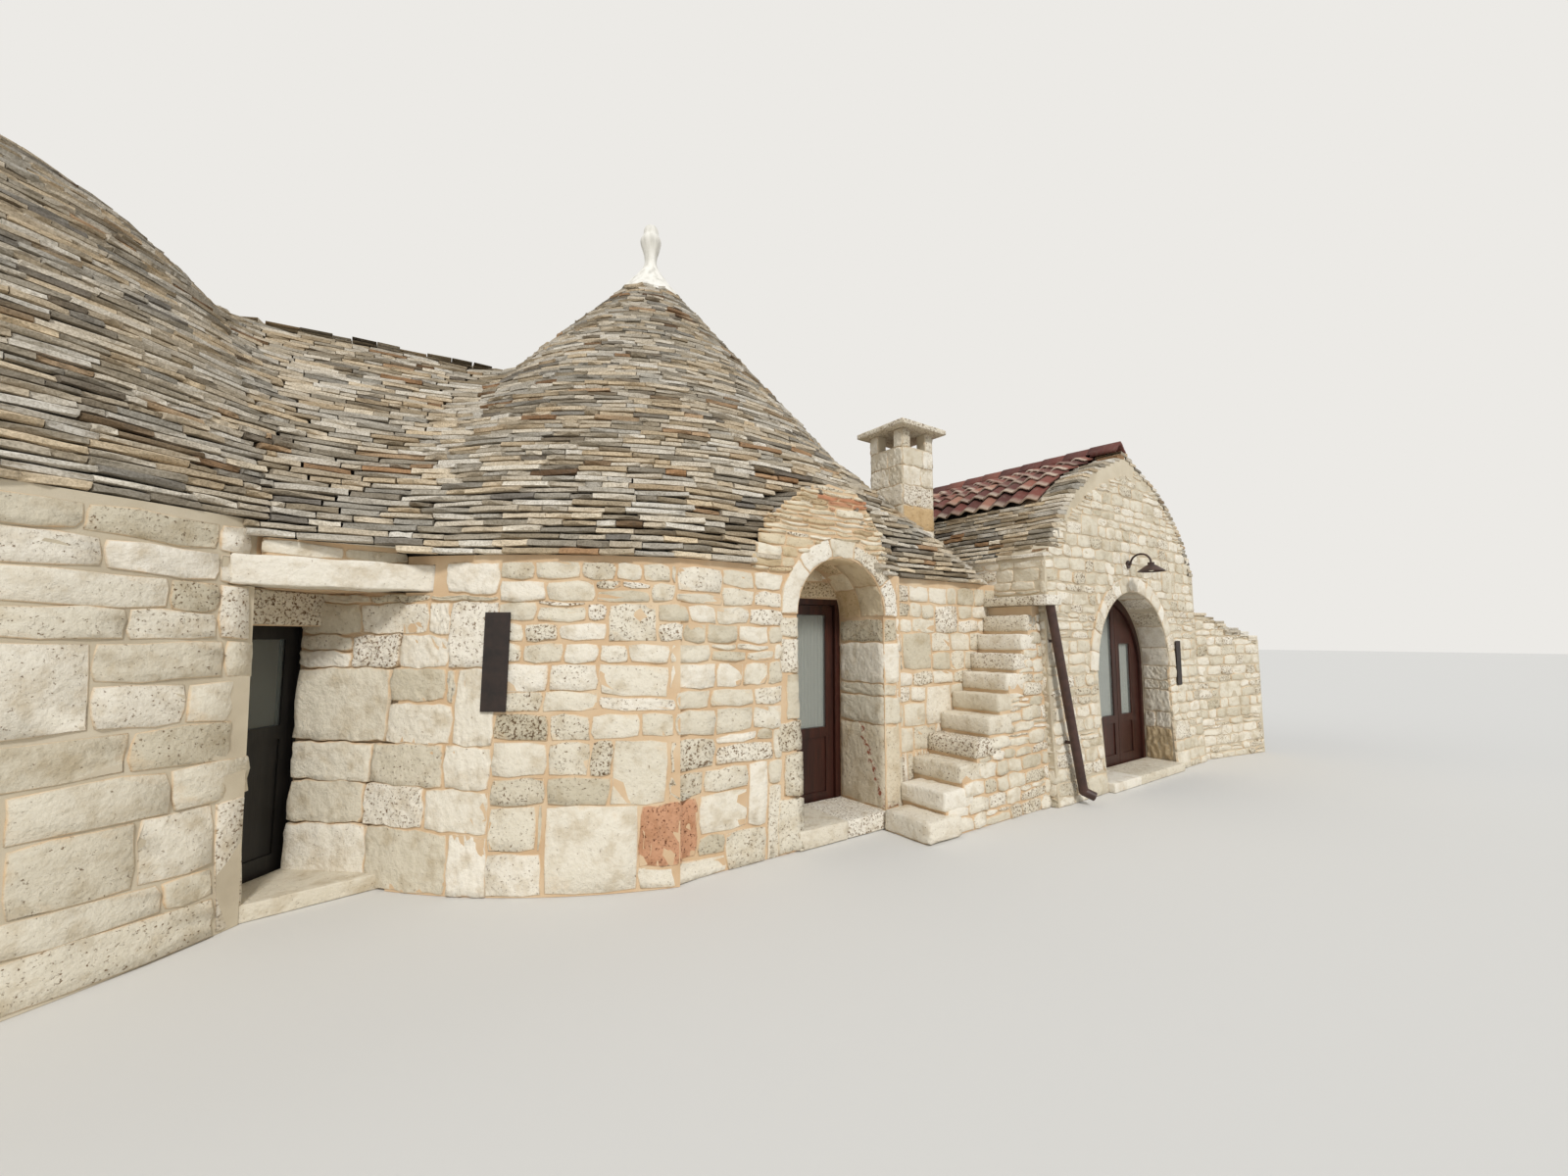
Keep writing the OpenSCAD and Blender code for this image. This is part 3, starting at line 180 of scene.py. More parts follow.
# Limestone blocks of the walls: cream, pitted, with the mortar smeared over their edges
def makeBlock(name="pittedLimestone", stops=None):
    material, tree, place, shader = newMaterial(name)
    shade = addNode(tree, "ShaderNodeAttribute", attribute_name="shade").outputs["Fac"]
    tint = addNode(tree, "ShaderNodeAttribute", attribute_name="tint").outputs["Fac"]
    rim = addNode(tree, "ShaderNodeAttribute", attribute_name="rim").outputs["Fac"]
    base = addNode(tree, "ShaderNodeValToRGB", {"Fac": shade}, stops=stops or [
        (0.0, "#c8bda4"), (0.3, "#d9cfb9"), (0.6, "#e5dcc8"), (1.0, "#f0e8d8")])
    broad = addNode(tree, "ShaderNodeTexNoise", {"Vector": place, "Scale": 7.0, "Detail": 5.0,
                                                 "Roughness": 0.6})
    cloud = addNode(tree, "ShaderNodeValToRGB", {"Fac": broad.outputs["Fac"]}, stops=[
        (0.3, "#c9b99c"), (0.52, "#ffffff"), (0.75, "#f3f1ea")])
    colour = mixColours(tree, 0.55, base.outputs["Color"], cloud.outputs["Color"], "MULTIPLY")
    # Pits 4 to 12 mm wide, dense on some blocks and missing on others; their dark brown is painted shade
    # inside the holes
    pits = addNode(tree, "ShaderNodeTexNoise", {"Vector": place, "Scale": 55.0, "Detail": 5.0,
                                                "Roughness": 0.7})
    amount = addNode(tree, "ShaderNodeMath", {0: tint, 1: 0.14}, operation="MULTIPLY").outputs[0]
    level = addNode(tree, "ShaderNodeMath", {0: pits.outputs["Fac"], 1: amount}, operation="ADD")
    shadedPits = addNode(tree, "ShaderNodeValToRGB", {"Fac": level.outputs[0]}, stops=[
        (0.0, "#ffffff"), (0.66, "#ffffff"), (0.72, "#a2876a"), (0.8, "#5e4a3a")])
    colour = mixColours(tree, 1.0, colour, shadedPits.outputs["Color"], "MULTIPLY")
    smear = addNode(tree, "ShaderNodeMath", {0: broad.outputs["Fac"], 1: rim}, operation="MULTIPLY")
    edge = addNode(tree, "ShaderNodeValToRGB", {"Fac": smear.outputs[0]}, stops=[
        (0.28, "#000000"), (0.6, "#ffffff")])
    colour = mixColours(tree, edge.outputs["Color"], colour, hexColour("#dcc09a"))
    tree.links.new(colour, shader.inputs["Base Color"])
    shader.inputs["Roughness"].default_value = 0.88
    grain = addNode(tree, "ShaderNodeTexNoise", {"Vector": place, "Scale": 26.0, "Detail": 6.0,
                                                 "Roughness": 0.6})
    drop = addNode(tree, "ShaderNodeMath", {0: shadedPits.outputs["Color"], 1: 0.4}, operation="MULTIPLY")
    addBump(tree, shader, [(grain.outputs["Fac"], 0.02), (drop.outputs[0], 0.01)], 1.0, 0.75)
    return material


# The same stone with a rust-red vein that runs down the middle door's right reveal
def makeVeined():
    material = makeBlock("rustVeinedLimestone", [
        (0.0, "#d0c3a8"), (0.35, "#dccfb6"), (0.7, "#e6dcc6"), (1.0, "#eee5d3")])
    tree = material.node_tree
    shader = next(n for n in tree.nodes if n.type == "BSDF_PRINCIPLED")
    stone = shader.inputs["Base Color"].links[0].from_socket
    place = addNode(tree, "ShaderNodeTexCoord").outputs["Object"]
    spot = addNode(tree, "ShaderNodeSeparateXYZ", {"Vector": place})
    # The vein leans towards the outer corner: y against z, in metres
    fall = addNode(tree, "ShaderNodeMath", {0: spot.outputs["Z"], 1: -0.42, 2: 3.33},
                   operation="MULTIPLY_ADD")
    away = addNode(tree, "ShaderNodeMath", {0: spot.outputs["Y"], 1: fall.outputs[0]}, operation="ADD")
    away = addNode(tree, "ShaderNodeMath", {0: away.outputs[0]}, operation="ABSOLUTE")
    ragged = addNode(tree, "ShaderNodeTexNoise", {"Vector": place, "Scale": 16.0, "Detail": 5.0,
                                                  "Roughness": 0.65})
    level = addNode(tree, "ShaderNodeMath", {0: ragged.outputs["Fac"], 1: 0.26, 2: away.outputs[0]},
                    operation="MULTIPLY_ADD")
    vein = addNode(tree, "ShaderNodeValToRGB", {"Fac": level.outputs[0]}, stops=[
        (0.128, "#ffffff"), (0.15, "#000000")])
    colour = mixColours(tree, vein.outputs["Color"], stone, hexColour("#9a5a40"))
    tree.links.new(colour, shader.inputs["Base Color"])
    return material


# Lime mortar: peach or pale, trowelled flush, sandy; limewashed on the faces inside a room
def makeMortar(name, stops):
    material, tree, place, shader = newMaterial(name)
    broad = addNode(tree, "ShaderNodeTexNoise", {"Vector": place, "Scale": 3.0, "Detail": 5.0})
    peach = addNode(tree, "ShaderNodeValToRGB", {"Fac": broad.outputs["Fac"]}, stops=[
        (0.25, stops[0]), (0.5, stops[1]), (0.75, stops[2])])
    sand = addNode(tree, "ShaderNodeTexNoise", {"Vector": place, "Scale": 160.0, "Detail": 3.0})
    colour = peach.outputs["Color"]
    # A place nearer to a room's axis than its wall's middle is inside it
    rooms = [((0, 0, 0), house["middleRadius"] - 0.94),
             ((house["leftX"], house["leftY"], 0), house["leftRadius"] - 0.95)]
    plan = addNode(tree, "ShaderNodeVectorMath", {0: place, 1: (1.0, 1.0, 0.0)}, operation="MULTIPLY")
    for centre, radius in rooms:
        away = addNode(tree, "ShaderNodeVectorMath", {0: plan.outputs[0], 1: centre},
                       operation="DISTANCE")
        inside = addNode(tree, "ShaderNodeMath", {0: away.outputs["Value"], 1: radius},
                         operation="LESS_THAN")
        colour = mixColours(tree, inside.outputs[0], colour, hexColour("#e9e4d8"))
    tree.links.new(colour, shader.inputs["Base Color"])
    shader.inputs["Roughness"].default_value = 0.92
    addBump(tree, shader, [(broad.outputs["Fac"], 0.02), (sand.outputs["Fac"], 0.002)], 1.0, 0.6)
    return material


# Rubble core under the slabs: painted near-black on its upward faces as the shade in the gaps between
# slabs, limewashed where it faces down into a room
def makeCore():
    material, tree, place, shader = newMaterial("rubbleCore")
    facing = addNode(tree, "ShaderNodeTexCoord").outputs["Normal"]
    upward = addNode(tree, "ShaderNodeSeparateXYZ", {"Vector": facing}).outputs["Z"]
    side = addNode(tree, "ShaderNodeMath", {0: upward, 1: 0.0}, operation="GREATER_THAN").outputs[0]
    broad = addNode(tree, "ShaderNodeTexNoise", {"Vector": place, "Scale": 9.0, "Detail": 5.0})
    # Painted shade: upward faces, seen only through the gaps between slabs, are coloured near-black
    dark = addNode(tree, "ShaderNodeValToRGB", {"Fac": broad.outputs["Fac"]}, stops=[
        (0.3, "#2b2823"), (0.7, "#4a453c")])
    wash = addNode(tree, "ShaderNodeValToRGB", {"Fac": broad.outputs["Fac"]}, stops=[
        (0.3, "#dfd9cb"), (0.7, "#efeadf")])
    colour = mixColours(tree, side, wash.outputs["Color"], dark.outputs["Color"])
    tree.links.new(colour, shader.inputs["Base Color"])
    shader.inputs["Roughness"].default_value = 0.95
    addBump(tree, shader, [(broad.outputs["Fac"], 0.02)], 1.0, 0.6)
    return material


# Limewashed plaster of the pinnacles: off-white, brushed, greyer where rain runs down
def makePlaster():
    material, tree, place, shader = newMaterial("limewashedPlaster")
    streaks = addNode(tree, "ShaderNodeMapping", {"Vector": place, "Scale": (14.0, 14.0, 1.6)})
    runs = addNode(tree, "ShaderNodeTexNoise", {"Vector": streaks.outputs["Vector"], "Scale": 1.0,
                                                "Detail": 5.0})
    colour = addNode(tree, "ShaderNodeValToRGB", {"Fac": runs.outputs["Fac"]}, stops=[
        (0.3, "#c9c5ba"), (0.5, "#e9e5da"), (0.7, "#f3efe6")])
    brush = addNode(tree, "ShaderNodeTexNoise", {"Vector": place, "Scale": 60.0, "Detail": 4.0})
    tree.links.new(colour.outputs["Color"], shader.inputs["Base Color"])
    shader.inputs["Roughness"].default_value = 0.8
    addBump(tree, shader, [(runs.outputs["Fac"], 0.01), (brush.outputs["Fac"], 0.003)], 1.0, 0.5)
    return material


# Stained or painted door timber; the grain runs upright, a line about every 3 mm
def makeTimber(name, dark, light, roughness):
    material, tree, place, shader = newMaterial(name)
    stretch = addNode(tree, "ShaderNodeMapping", {"Vector": place, "Scale": (1.0, 1.0, 0.05)})
    grain = addNode(tree, "ShaderNodeTexNoise", {"Vector": stretch.outputs["Vector"], "Scale": 160.0,
                                                 "Detail": 5.0, "Distortion": 0.6})
    broad = addNode(tree, "ShaderNodeTexNoise", {"Vector": stretch.outputs["Vector"], "Scale": 18.0,
                                                 "Detail": 3.0})
    mixed = addNode(tree, "ShaderNodeMath", {0: grain.outputs["Fac"], 1: broad.outputs["Fac"]},
                    operation="MULTIPLY").outputs[0]
    colour = addNode(tree, "ShaderNodeValToRGB", {"Fac": mixed}, stops=[(0.12, dark), (0.4, light)])
    tree.links.new(colour.outputs["Color"], shader.inputs["Base Color"])
    shader.inputs["Roughness"].default_value = roughness
    addBump(tree, shader, [(grain.outputs["Fac"], 0.0015)], 1.0, 0.5)
    return material


# Window glass: clear float glass with a slight green cast
def makeGlass():
    material, tree, place, shader = newMaterial("floatGlass")
    shader.inputs["Base Color"].default_value = hexColour("#8a908a")
    shader.inputs["Roughness"].default_value = 0.04
    shader.inputs["IOR"].default_value = 1.5
    shader.inputs["Alpha"].default_value = 0.3
    return material


# Unbleached cotton voile: a thread every 0.6 mm, drawn at 4 mm so that it shows
def makeVoile():
    material, tree, place, shader = newMaterial("cottonVoile")
    weave = addNode(tree, "ShaderNodeTexWave", {"Vector": place, "Scale": 40.0, "Distortion": 1.0,
                                                "Detail": 2.0}, bands_direction="Z")
    colour = addNode(tree, "ShaderNodeValToRGB", {"Fac": weave.outputs["Fac"]}, stops=[
        (0.2, "#d2d2c8"), (0.8, "#e4e4db")])
    tree.links.new(colour.outputs["Color"], shader.inputs["Base Color"])
    shader.inputs["Roughness"].default_value = 0.95
    shader.inputs["Sheen Weight"].default_value = 0.2
    return material


# Painted sheet metal: dark brown, a little chalky
def makePaintedMetal(name, dark, light, roughness):
    material, tree, place, shader = newMaterial(name)
    worn = addNode(tree, "ShaderNodeTexNoise", {"Vector": place, "Scale": 12.0, "Detail": 6.0})
    colour = addNode(tree, "ShaderNodeValToRGB", {"Fac": worn.outputs["Fac"]}, stops=[
        (0.35, dark), (0.65, light)])
    tree.links.new(colour.outputs["Color"], shader.inputs["Base Color"])
    shader.inputs["Roughness"].default_value = roughness
    addBump(tree, shader, [(worn.outputs["Fac"], 0.002)], 1.0, 0.4)
    return material


# Fired clay roof tiles: red-brown, each a little different, with pale lichen
def makeTile():
    material, tree, place, shader = newMaterial("firedClayTile")
    shade = addNode(tree, "ShaderNodeAttribute", attribute_name="shade").outputs["Fac"]
    base = addNode(tree, "ShaderNodeValToRGB", {"Fac": shade}, stops=[
        (0.0, "#54302a"), (0.5, "#754036"), (0.85, "#925c4a"), (1.0, "#b89078")])
    # The lower edges are pale: bleached by lichen and mortar in part, and in part a painted highlight
    # where light catches the tiles' ends
    edge = addNode(tree, "ShaderNodeAttribute", attribute_name="tint").outputs["Fac"]
    lichen = addNode(tree, "ShaderNodeTexNoise", {"Vector": place, "Scale": 24.0, "Detail": 6.0})
    spots = addNode(tree, "ShaderNodeValToRGB", {"Fac": lichen.outputs["Fac"]}, stops=[
        (0.52, "#000000"), (0.72, "#909090")])
    colour = mixColours(tree, spots.outputs["Color"], base.outputs["Color"], hexColour("#8d8172"))
    colour = mixColours(tree, edge, colour, hexColour("#d9c8b4"))
    tree.links.new(colour, shader.inputs["Base Color"])
    shader.inputs["Roughness"].default_value = 0.85
    addBump(tree, shader, [(lichen.outputs["Fac"], 0.004)], 1.0, 0.6)
    return material


# Opal bulb glass
def makeBulb():
    material, tree, place, shader = newMaterial("opalGlass")
    shader.inputs["Base Color"].default_value = hexColour("#f2ecda")
    shader.inputs["Roughness"].default_value = 0.15
    shader.inputs["Alpha"].default_value = 0.85
    return material


slateMaterial = makeSlate()
blockMaterial = makeBlock()
hoodMaterial = makeBlock("tannedLimestone", [
    (0.0, "#b9a27e"), (0.35, "#d2bd98"), (0.7, "#e3d6bb"), (1.0, "#efe6d2")])
ochreMaterial = makeBlock("ochreStainedLimestone", [
    (0.0, "#c9aa7c"), (0.35, "#d9bf96"), (0.7, "#e5d4b4"), (1.0, "#eee3cb")])
dressedMaterial = makeBlock("dressedLimestone", [
    (0.0, "#d3c8b1"), (0.35, "#ded4bf"), (0.7, "#e8dfcd"), (1.0, "#f0e9da")])
burntMaterial = makeBlock("burntLimestone", [
    (0.0, "#a8613f"), (0.35, "#b87653"), (0.7, "#c68d69"), (1.0, "#d3a583")])
jambMaterial = makeVeined()
mortarMaterial = makeMortar("limeMortar", ["#c6a57f", "#d3b692", "#dec8a8"])
paleMortarMaterial = makeMortar("paleLimeMortar", ["#b5a78f", "#c8bba2", "#d6cab3"])
coreMaterial = makeCore()
plasterMaterial = makePlaster()
doorMaterial = makeTimber("stainedHardwood", "#22100c", "#482218", 0.42)
blackMaterial = makeTimber("blackPaintedSoftwood", "#0d0c0b", "#221f1c", 0.5)
glassMaterial = makeGlass()
voileMaterial = makeVoile()
pipeMaterial = makePaintedMetal("paintedSheetSteel", "#33211b", "#4a3128", 0.5)
plateMaterial = makePaintedMetal("burntIron", "#1d1613", "#30231d", 0.6)
tileMaterial = makeTile()
bulbMaterial = makeBulb()
print("materials made")

nodeMaterials = {
    "mortar": ["left_wall_party", "left_door_head", "saddle_wall_rear", "middle_wall_left",
               "middle_wall_right", "middle_wall_rear", "middle_door_head", "middle_arch", "middle_hood",
               "thresholds", "stair_flank", "stair_treads", "landing_spout", "gable_wall_left",
               "left_floor", "middle_floor", "gable_floor"],
    "pale": ["left_wall_front", "left_wall_rear", "left_lintel", "chimney_stack", "chimney_cap",
             "gable_pier_left", "gable_pier_right", "gable_front", "gable_arch", "gable_wall_right",
             "gable_wall_rear", "low_wall"],
    "core": ["left_dome", "saddle_core", "middle_dome", "gable_vault", "left_slates", "saddle_slates",
             "middle_slates", "gable_slates", "low_wall_coping", "gable_tiles"],
    "plaster": ["pinnacles"],
    "door": ["middle_door_frame", "middle_door_leaf", "gable_door_frame", "gable_leaf_left",
             "gable_leaf_right"],
    "black": ["left_door_frame", "left_door_leaf"],
    "glass": ["left_door_glass", "middle_door_glass", "gable_glass_left", "gable_glass_right"],
    "voile": ["middle_curtain", "gable_curtain_left", "gable_curtain_right"],
    "pipe": ["drainpipe", "wall_lamp"],
    "plate": ["sign_plates"],
    "bulb": ["lamp_bulb"],
}
materialNames = {
    "mortar": mortarMaterial, "pale": paleMortarMaterial, "core": coreMaterial,
    "plaster": plasterMaterial, "door": doorMaterial, "black": blackMaterial, "glass": glassMaterial,
    "voile": voileMaterial, "pipe": pipeMaterial, "plate": plateMaterial, "bulb": bulbMaterial,
}
for group, names in nodeMaterials.items():
    for name in names:
        mesh = nodes[name].data
        mesh.materials.clear()
        mesh.materials.append(materialNames[group])
print("frame finished in its materials")


# Stones: a few templates shaped with mesh operators, then laid by the hundred as joined meshes

def templateArrays(bm):
    bm.verts.ensure_lookup_table()
    bmesh.ops.triangulate(bm, faces=bm.faces)
    points = np.array([v.co[:] for v in bm.verts])
    faces = np.array([[v.index for v in f.verts] for f in bm.faces])
    bm.free()
    return points, faces


def faceTemplate(across=3, upwards=3):
    # A stone's face: a grid, its rim turned back twice. z holds the ring: 0 face, -1 edge, -2 foot
    bm = bmesh.new()
    bmesh.ops.create_grid(bm, x_segments=across, y_segments=upwards, size=0.5)
    for ring in (1, 2):
        rim = [e for e in bm.edges if e.is_boundary]
        made = bmesh.ops.extrude_edge_only(bm, edges=rim)
        moved = [g for g in made["geom"] if isinstance(g, bmesh.types.BMVert)]
        bmesh.ops.translate(bm, verts=moved, vec=(0, 0, -1))
    bmesh.ops.recalc_face_normals(bm, faces=bm.faces)
    if sum(f.normal.z for f in bm.faces) < 0:
        bmesh.ops.reverse_faces(bm, faces=bm.faces)
    bm.verts.index_update()
    return templateArrays(bm)


def slabTemplate(seed, cuts=3, bevel=0.16):
    # A split slab: x along the course, y out of the roof, z up, each 1 long before it is scaled
    rng = np.random.default_rng(seed)
    bm = bmesh.new()
    bmesh.ops.create_cube(bm, size=1.0)
    long = [e for e in bm.edges if abs(e.verts[0].co.x - e.verts[1].co.x) > 0.5]
    bmesh.ops.subdivide_edges(bm, edges=long, cuts=cuts - 1)
    front = [e for e in bm.edges if all(v.co.y < -0.49 for v in e.verts)
             and abs(e.verts[0].co.z - e.verts[1].co.z) < 0.01]
    bmesh.ops.bevel(bm, geom=front, offset=bevel, affect="EDGES", segments=1, profile=0.5,
                    material=-1)
    back = [f for f in bm.faces if all(v.co.y > 0.49 for v in f.verts)]
    bmesh.ops.delete(bm, geom=back, context="FACES")
    for vert in bm.verts:
        if vert.co.y < 0.3:
            vert.co.y += rng.uniform(-0.05, 0.07)
            vert.co.z += rng.uniform(-0.11, 0.11)
            vert.co.x += rng.uniform(-0.02, 0.02)
    bm.verts.index_update()
    return templateArrays(bm)


def joinMesh(name, points, indices, material, attributes, smooth):
    mesh = bpy.data.meshes.new(name)
    mesh.vertices.add(len(points))
    mesh.vertices.foreach_set("co", points.astype(np.float32).ravel())
    mesh.loops.add(indices.size)
    mesh.loops.foreach_set("vertex_index", indices.astype(np.int32).ravel())
    mesh.polygons.add(len(indices))
    mesh.polygons.foreach_set("loop_start", np.arange(0, indices.size, 3, dtype=np.int32))
    mesh.update(calc_edges=True)
    for key, values in attributes.items():
        mesh.attributes.new(key, "FLOAT", "POINT").data.foreach_set("value", values.astype(np.float32))
    mesh.polygons.foreach_set("use_smooth", np.full(len(indices), smooth))
    mesh.materials.append(material)
    piece = bpy.data.objects.new(name, mesh)
    bpy.context.scene.collection.objects.link(piece)
    return piece


# Roof slabs: courses run along level lines of the joined roofs

slabLook = {
    "rise": 0.052, "shortest": 0.13, "longest": 0.42, "depth": 0.17, "gap": 0.006,
    "proud": 0.010, "seed": 11, "valley": 1.1, "smooth": 0.8, "step": 0.03,
    "crownStart": 1.32, "crownEnd": 0.34, "crownStep": 0.1, "crownRise": 0.045,
}
# Tip of the cone that the left roof's sides lie on; its crown is rounded off below
leftApex = house["leftWall"] + house["leftPitch"] * (house["leftRadius"] + house["eaveOut"])


def leftRoofRadius(z):
    power = house["leftPower"]
    inner = max((leftApex - z) ** power - (leftApex - house["leftCrown"]) ** power, 0.0)
    return inner ** (1 / power) / house["leftPitch"]


def leftRoofHeight(radius):
    power = house["leftPower"]
    inner = (radius * house["leftPitch"]) ** power + (leftApex - house["leftCrown"]) ** power
    return leftApex - inner ** (1 / power)


def coneRadius(z):
    foot = house["middleRadius"] + house["eaveOut"]
    steep = foot - max(z - house["middleWall"] - house["footRise"], 0) / house["footPitch"]
    return min((house["coneTop"] - z) / house["conePitch"], steep)


def saddleOffset(z):
    top = house["saddleRidge"] + house["saddleRound"]
    pitch = math.sqrt((top - house["saddleEave"]) ** 2 - house["saddleRound"] ** 2) / house["saddleHalf"]
    return math.sqrt(max((top - z) ** 2 - house["saddleRound"] ** 2, 0.0)) / pitch


# The hood's outline in the plane of the front, x and z: up its left edge and up its right edge
hoodLeft = np.array([(-0.44, 2.2), (-0.3, 2.57), (0.05, 2.85), (0.25, 2.93)])
hoodRight = np.array([(0.93, 2.2), (0.84, 2.57), (0.57, 2.89), (0.25, 2.93)])


def hoodSides(z):
    return [np.interp(z, side[:, 1], side[:, 0]) for side in (hoodLeft, hoodRight)]


def hoodSpan(z):
    # Left and right edge of the hood at a height, or None above it
    return hoodSides(z) if z <= hoodLeft[-1, 1] - 0.01 else None


def middleRoofRadius(phi, z):
    # Distance of the middle roof's edge in each direction at height z
    cone = (house["coneTop"] - z) / house["conePitch"]
    radius = np.full_like(phi, cone)
    cornerY = house["stairFront"] + house["eaveOut"]
    corner = -math.atan2(cornerY, house["gableX"])
    distance = math.hypot(cornerY, house["gableX"])
    half = math.acos((house["coneTop"] - house["middleWall"]) / (house["conePitch"] * distance))
    turn = phi - corner
    inside = np.abs(turn) < half
    plane = cone / np.cos(np.clip(half - np.abs(turn), 0, 1.2))
    flare = (house["flareTop"] - z) / house["flarePitch"]
    radius = np.where(inside, np.minimum(plane, max(flare, cone)), radius)
    # The steep foot: round at the back and left, straight along the front
    drop = max(z - house["middleWall"] - house["footRise"], 0) / house["footPitch"]
    x = radius * np.cos(phi)
    y = radius * np.sin(phi)
    sine = np.maximum(-np.sin(phi), 1e-3)
    front = np.where(x < house["flatEnd"], house["middleFront"], house["stairFront"])
    straight = front + house["eaveOut"] - drop
    isFront = (y < -0.4) & (x > house["flatStart"])
    foot = house["middleRadius"] + house["eaveOut"] - drop
    radius = np.where(isFront, np.minimum(radius, straight / sine), np.minimum(radius, foot))
    span = hoodSpan(z)
    if span:
        # The hood's block stands out in front of the cone
        cosine = np.cos(phi)
        reach = (house["middleFront"] + 0.02) / sine
        across = reach * cosine
        sideLeft = np.where(cosine < 0, span[0] / np.minimum(cosine, -1e-6), 99)
        sideRight = np.where(cosine > 0, span[1] / np.maximum(cosine, 1e-6), 99)
        hood = np.minimum(reach, np.where(across < 0, sideLeft, sideRight))
        radius = np.maximum(radius, np.where(np.sin(phi) < -0.5, hood, 0))
    return radius


def axisToWorld(along, across):
    return along[:, None] * towardsLeft + across[:, None] * towardsFront


def evenSteps(path, step):
    # The closed path again, with points at even steps
    closed = np.vstack([path, path[:1]])
    lengths = np.hypot(*np.diff(closed, axis=0).T)
    total = np.concatenate([[0], np.cumsum(lengths)])
    places = np.linspace(0, total[-1], max(int(total[-1] / step), 8), endpoint=False)
    return np.column_stack([np.interp(places, total, closed[:, i]) for i in (0, 1)])


def courseLoops(z):
    # Closed plan lines of the roofs at height z, in world coordinates
    left = leftRoofRadius(z) if z > house["leftWall"] else house["leftRadius"]
    middle = coneRadius(z)
    offset = saddleOffset(z) if z < house["saddleRidge"] else 0.0
    joined = z < house["saddleRidge"] or left + middle > axisGap
    if not joined:
        turns = np.linspace(0, 2 * math.pi, 400, endpoint=False)
        loops = []
        if left > 0.4:
            loops.append(leftAxis - left * np.column_stack([np.cos(turns), np.sin(turns)]) * [1, -1])
        if z < house["coneTop"] - 0.47:
            phi = math.pi - turns
            radius = middleRoofRadius(phi, z)
            loops.append(radius[:, None] * np.column_stack([np.cos(phi), np.sin(phi)]))
        return [(evenSteps(p, slabLook["step"]), []) for p in loops]
    betaLeft = math.asin(min(offset / left, 1))
    betaMiddle = math.asin(min(offset / middle, 1))
    if left * math.cos(betaLeft) + middle * math.cos(betaMiddle) > axisGap:
        meet = (axisGap ** 2 + left ** 2 - middle ** 2) / (2 * axisGap)
        betaLeft = math.acos(max(min(meet / left, 1), -1))
        betaMiddle = math.acos(max(min((axisGap - meet) / middle, 1), -1))
    beta = np.linspace(betaLeft, 2 * math.pi - betaLeft, 500)
    leftArc = axisToWorld(axisGap - left * np.cos(beta), left * np.sin(beta))
    beta = np.linspace(2 * math.pi - betaMiddle, betaMiddle, 700)
    direction = axisToWorld(np.cos(beta), np.sin(beta))
    phi = np.arctan2(direction[:, 1], direction[:, 0])
    middleArc = direction * middleRoofRadius(phi, z)[:, None]
    path = evenSteps(np.vstack([leftArc, middleArc]), slabLook["step"])
    valleys = [leftArc[0], leftArc[-1], middleArc[0], middleArc[-1]]
    # Round the valleys, as the courses there bend from one roof to the next
    window = int(slabLook["smooth"] / slabLook["step"])
    kernel = np.ones(window) / window
    padded = np.vstack([path[-window:], path, path[:window]])
    soft = np.column_stack([np.convolve(padded[:, i], kernel, "same") for i in (0, 1)])[window:-window]
    near = np.min([np.hypot(*(path - v).T) for v in valleys], axis=0)
    share = np.clip(1.6 - near / slabLook["valley"] * 1.6, 0, 1)[:, None]
    return [(path * (1 - share) + soft * share, valleys)]


def gableHalfAt(z):
    # Half width of the gabled room's roof at height z
    half = house["gableWidth"] / 2
    heights = [house["gableEave"], house["gableEave"] + 0.35, house["gableEave"] + 0.7,
               house["gableRidge"] - 0.36, house["gableRidge"]]
    widths = [half, half * 0.9, half * 0.735, half * 0.49, 0.0]
    return float(np.interp(z, heights, widths)) if z < house["gableRidge"] else 0.0


def keepSlab(x, y, z):
    # Leaves out slabs inside the gabled room, the chimney, the hood's face and above the left wall's top
    centre = house["gableX"] + house["gableWidth"] / 2
    if abs(x - centre) < gableHalfAt(z) - 0.03 and -house["gableFront"] < y < house["gableBack"]:
        return False
    if z < house["gableEave"] and x > house["gableX"] - 0.02:
        return False
    if 1.98 < x < 2.45 and -2.53 < y < -2.07:
        return False
    span = hoodSpan(z)
    if span and span[0] - 0.02 < x < span[1] + 0.02 and y < -house["middleFront"] + 0.06:
        return False
    fromLeft = math.hypot(x - house["leftX"], y - house["leftY"])
    if z < house["leftWall"] and fromLeft < house["leftRadius"] + 0.04:
        return False
    if z < house["saddleEave"]:
        across = x * towardsFront[0] + y * towardsFront[1]
        along = x * towardsLeft[0] + y * towardsLeft[1]
        byMiddle = math.hypot(x, y) < house["middleRadius"] + 0.2
        if along > 0 and abs(across) < house["saddleHalf"] + 0.1 and not byMiddle:
            return False
    return True


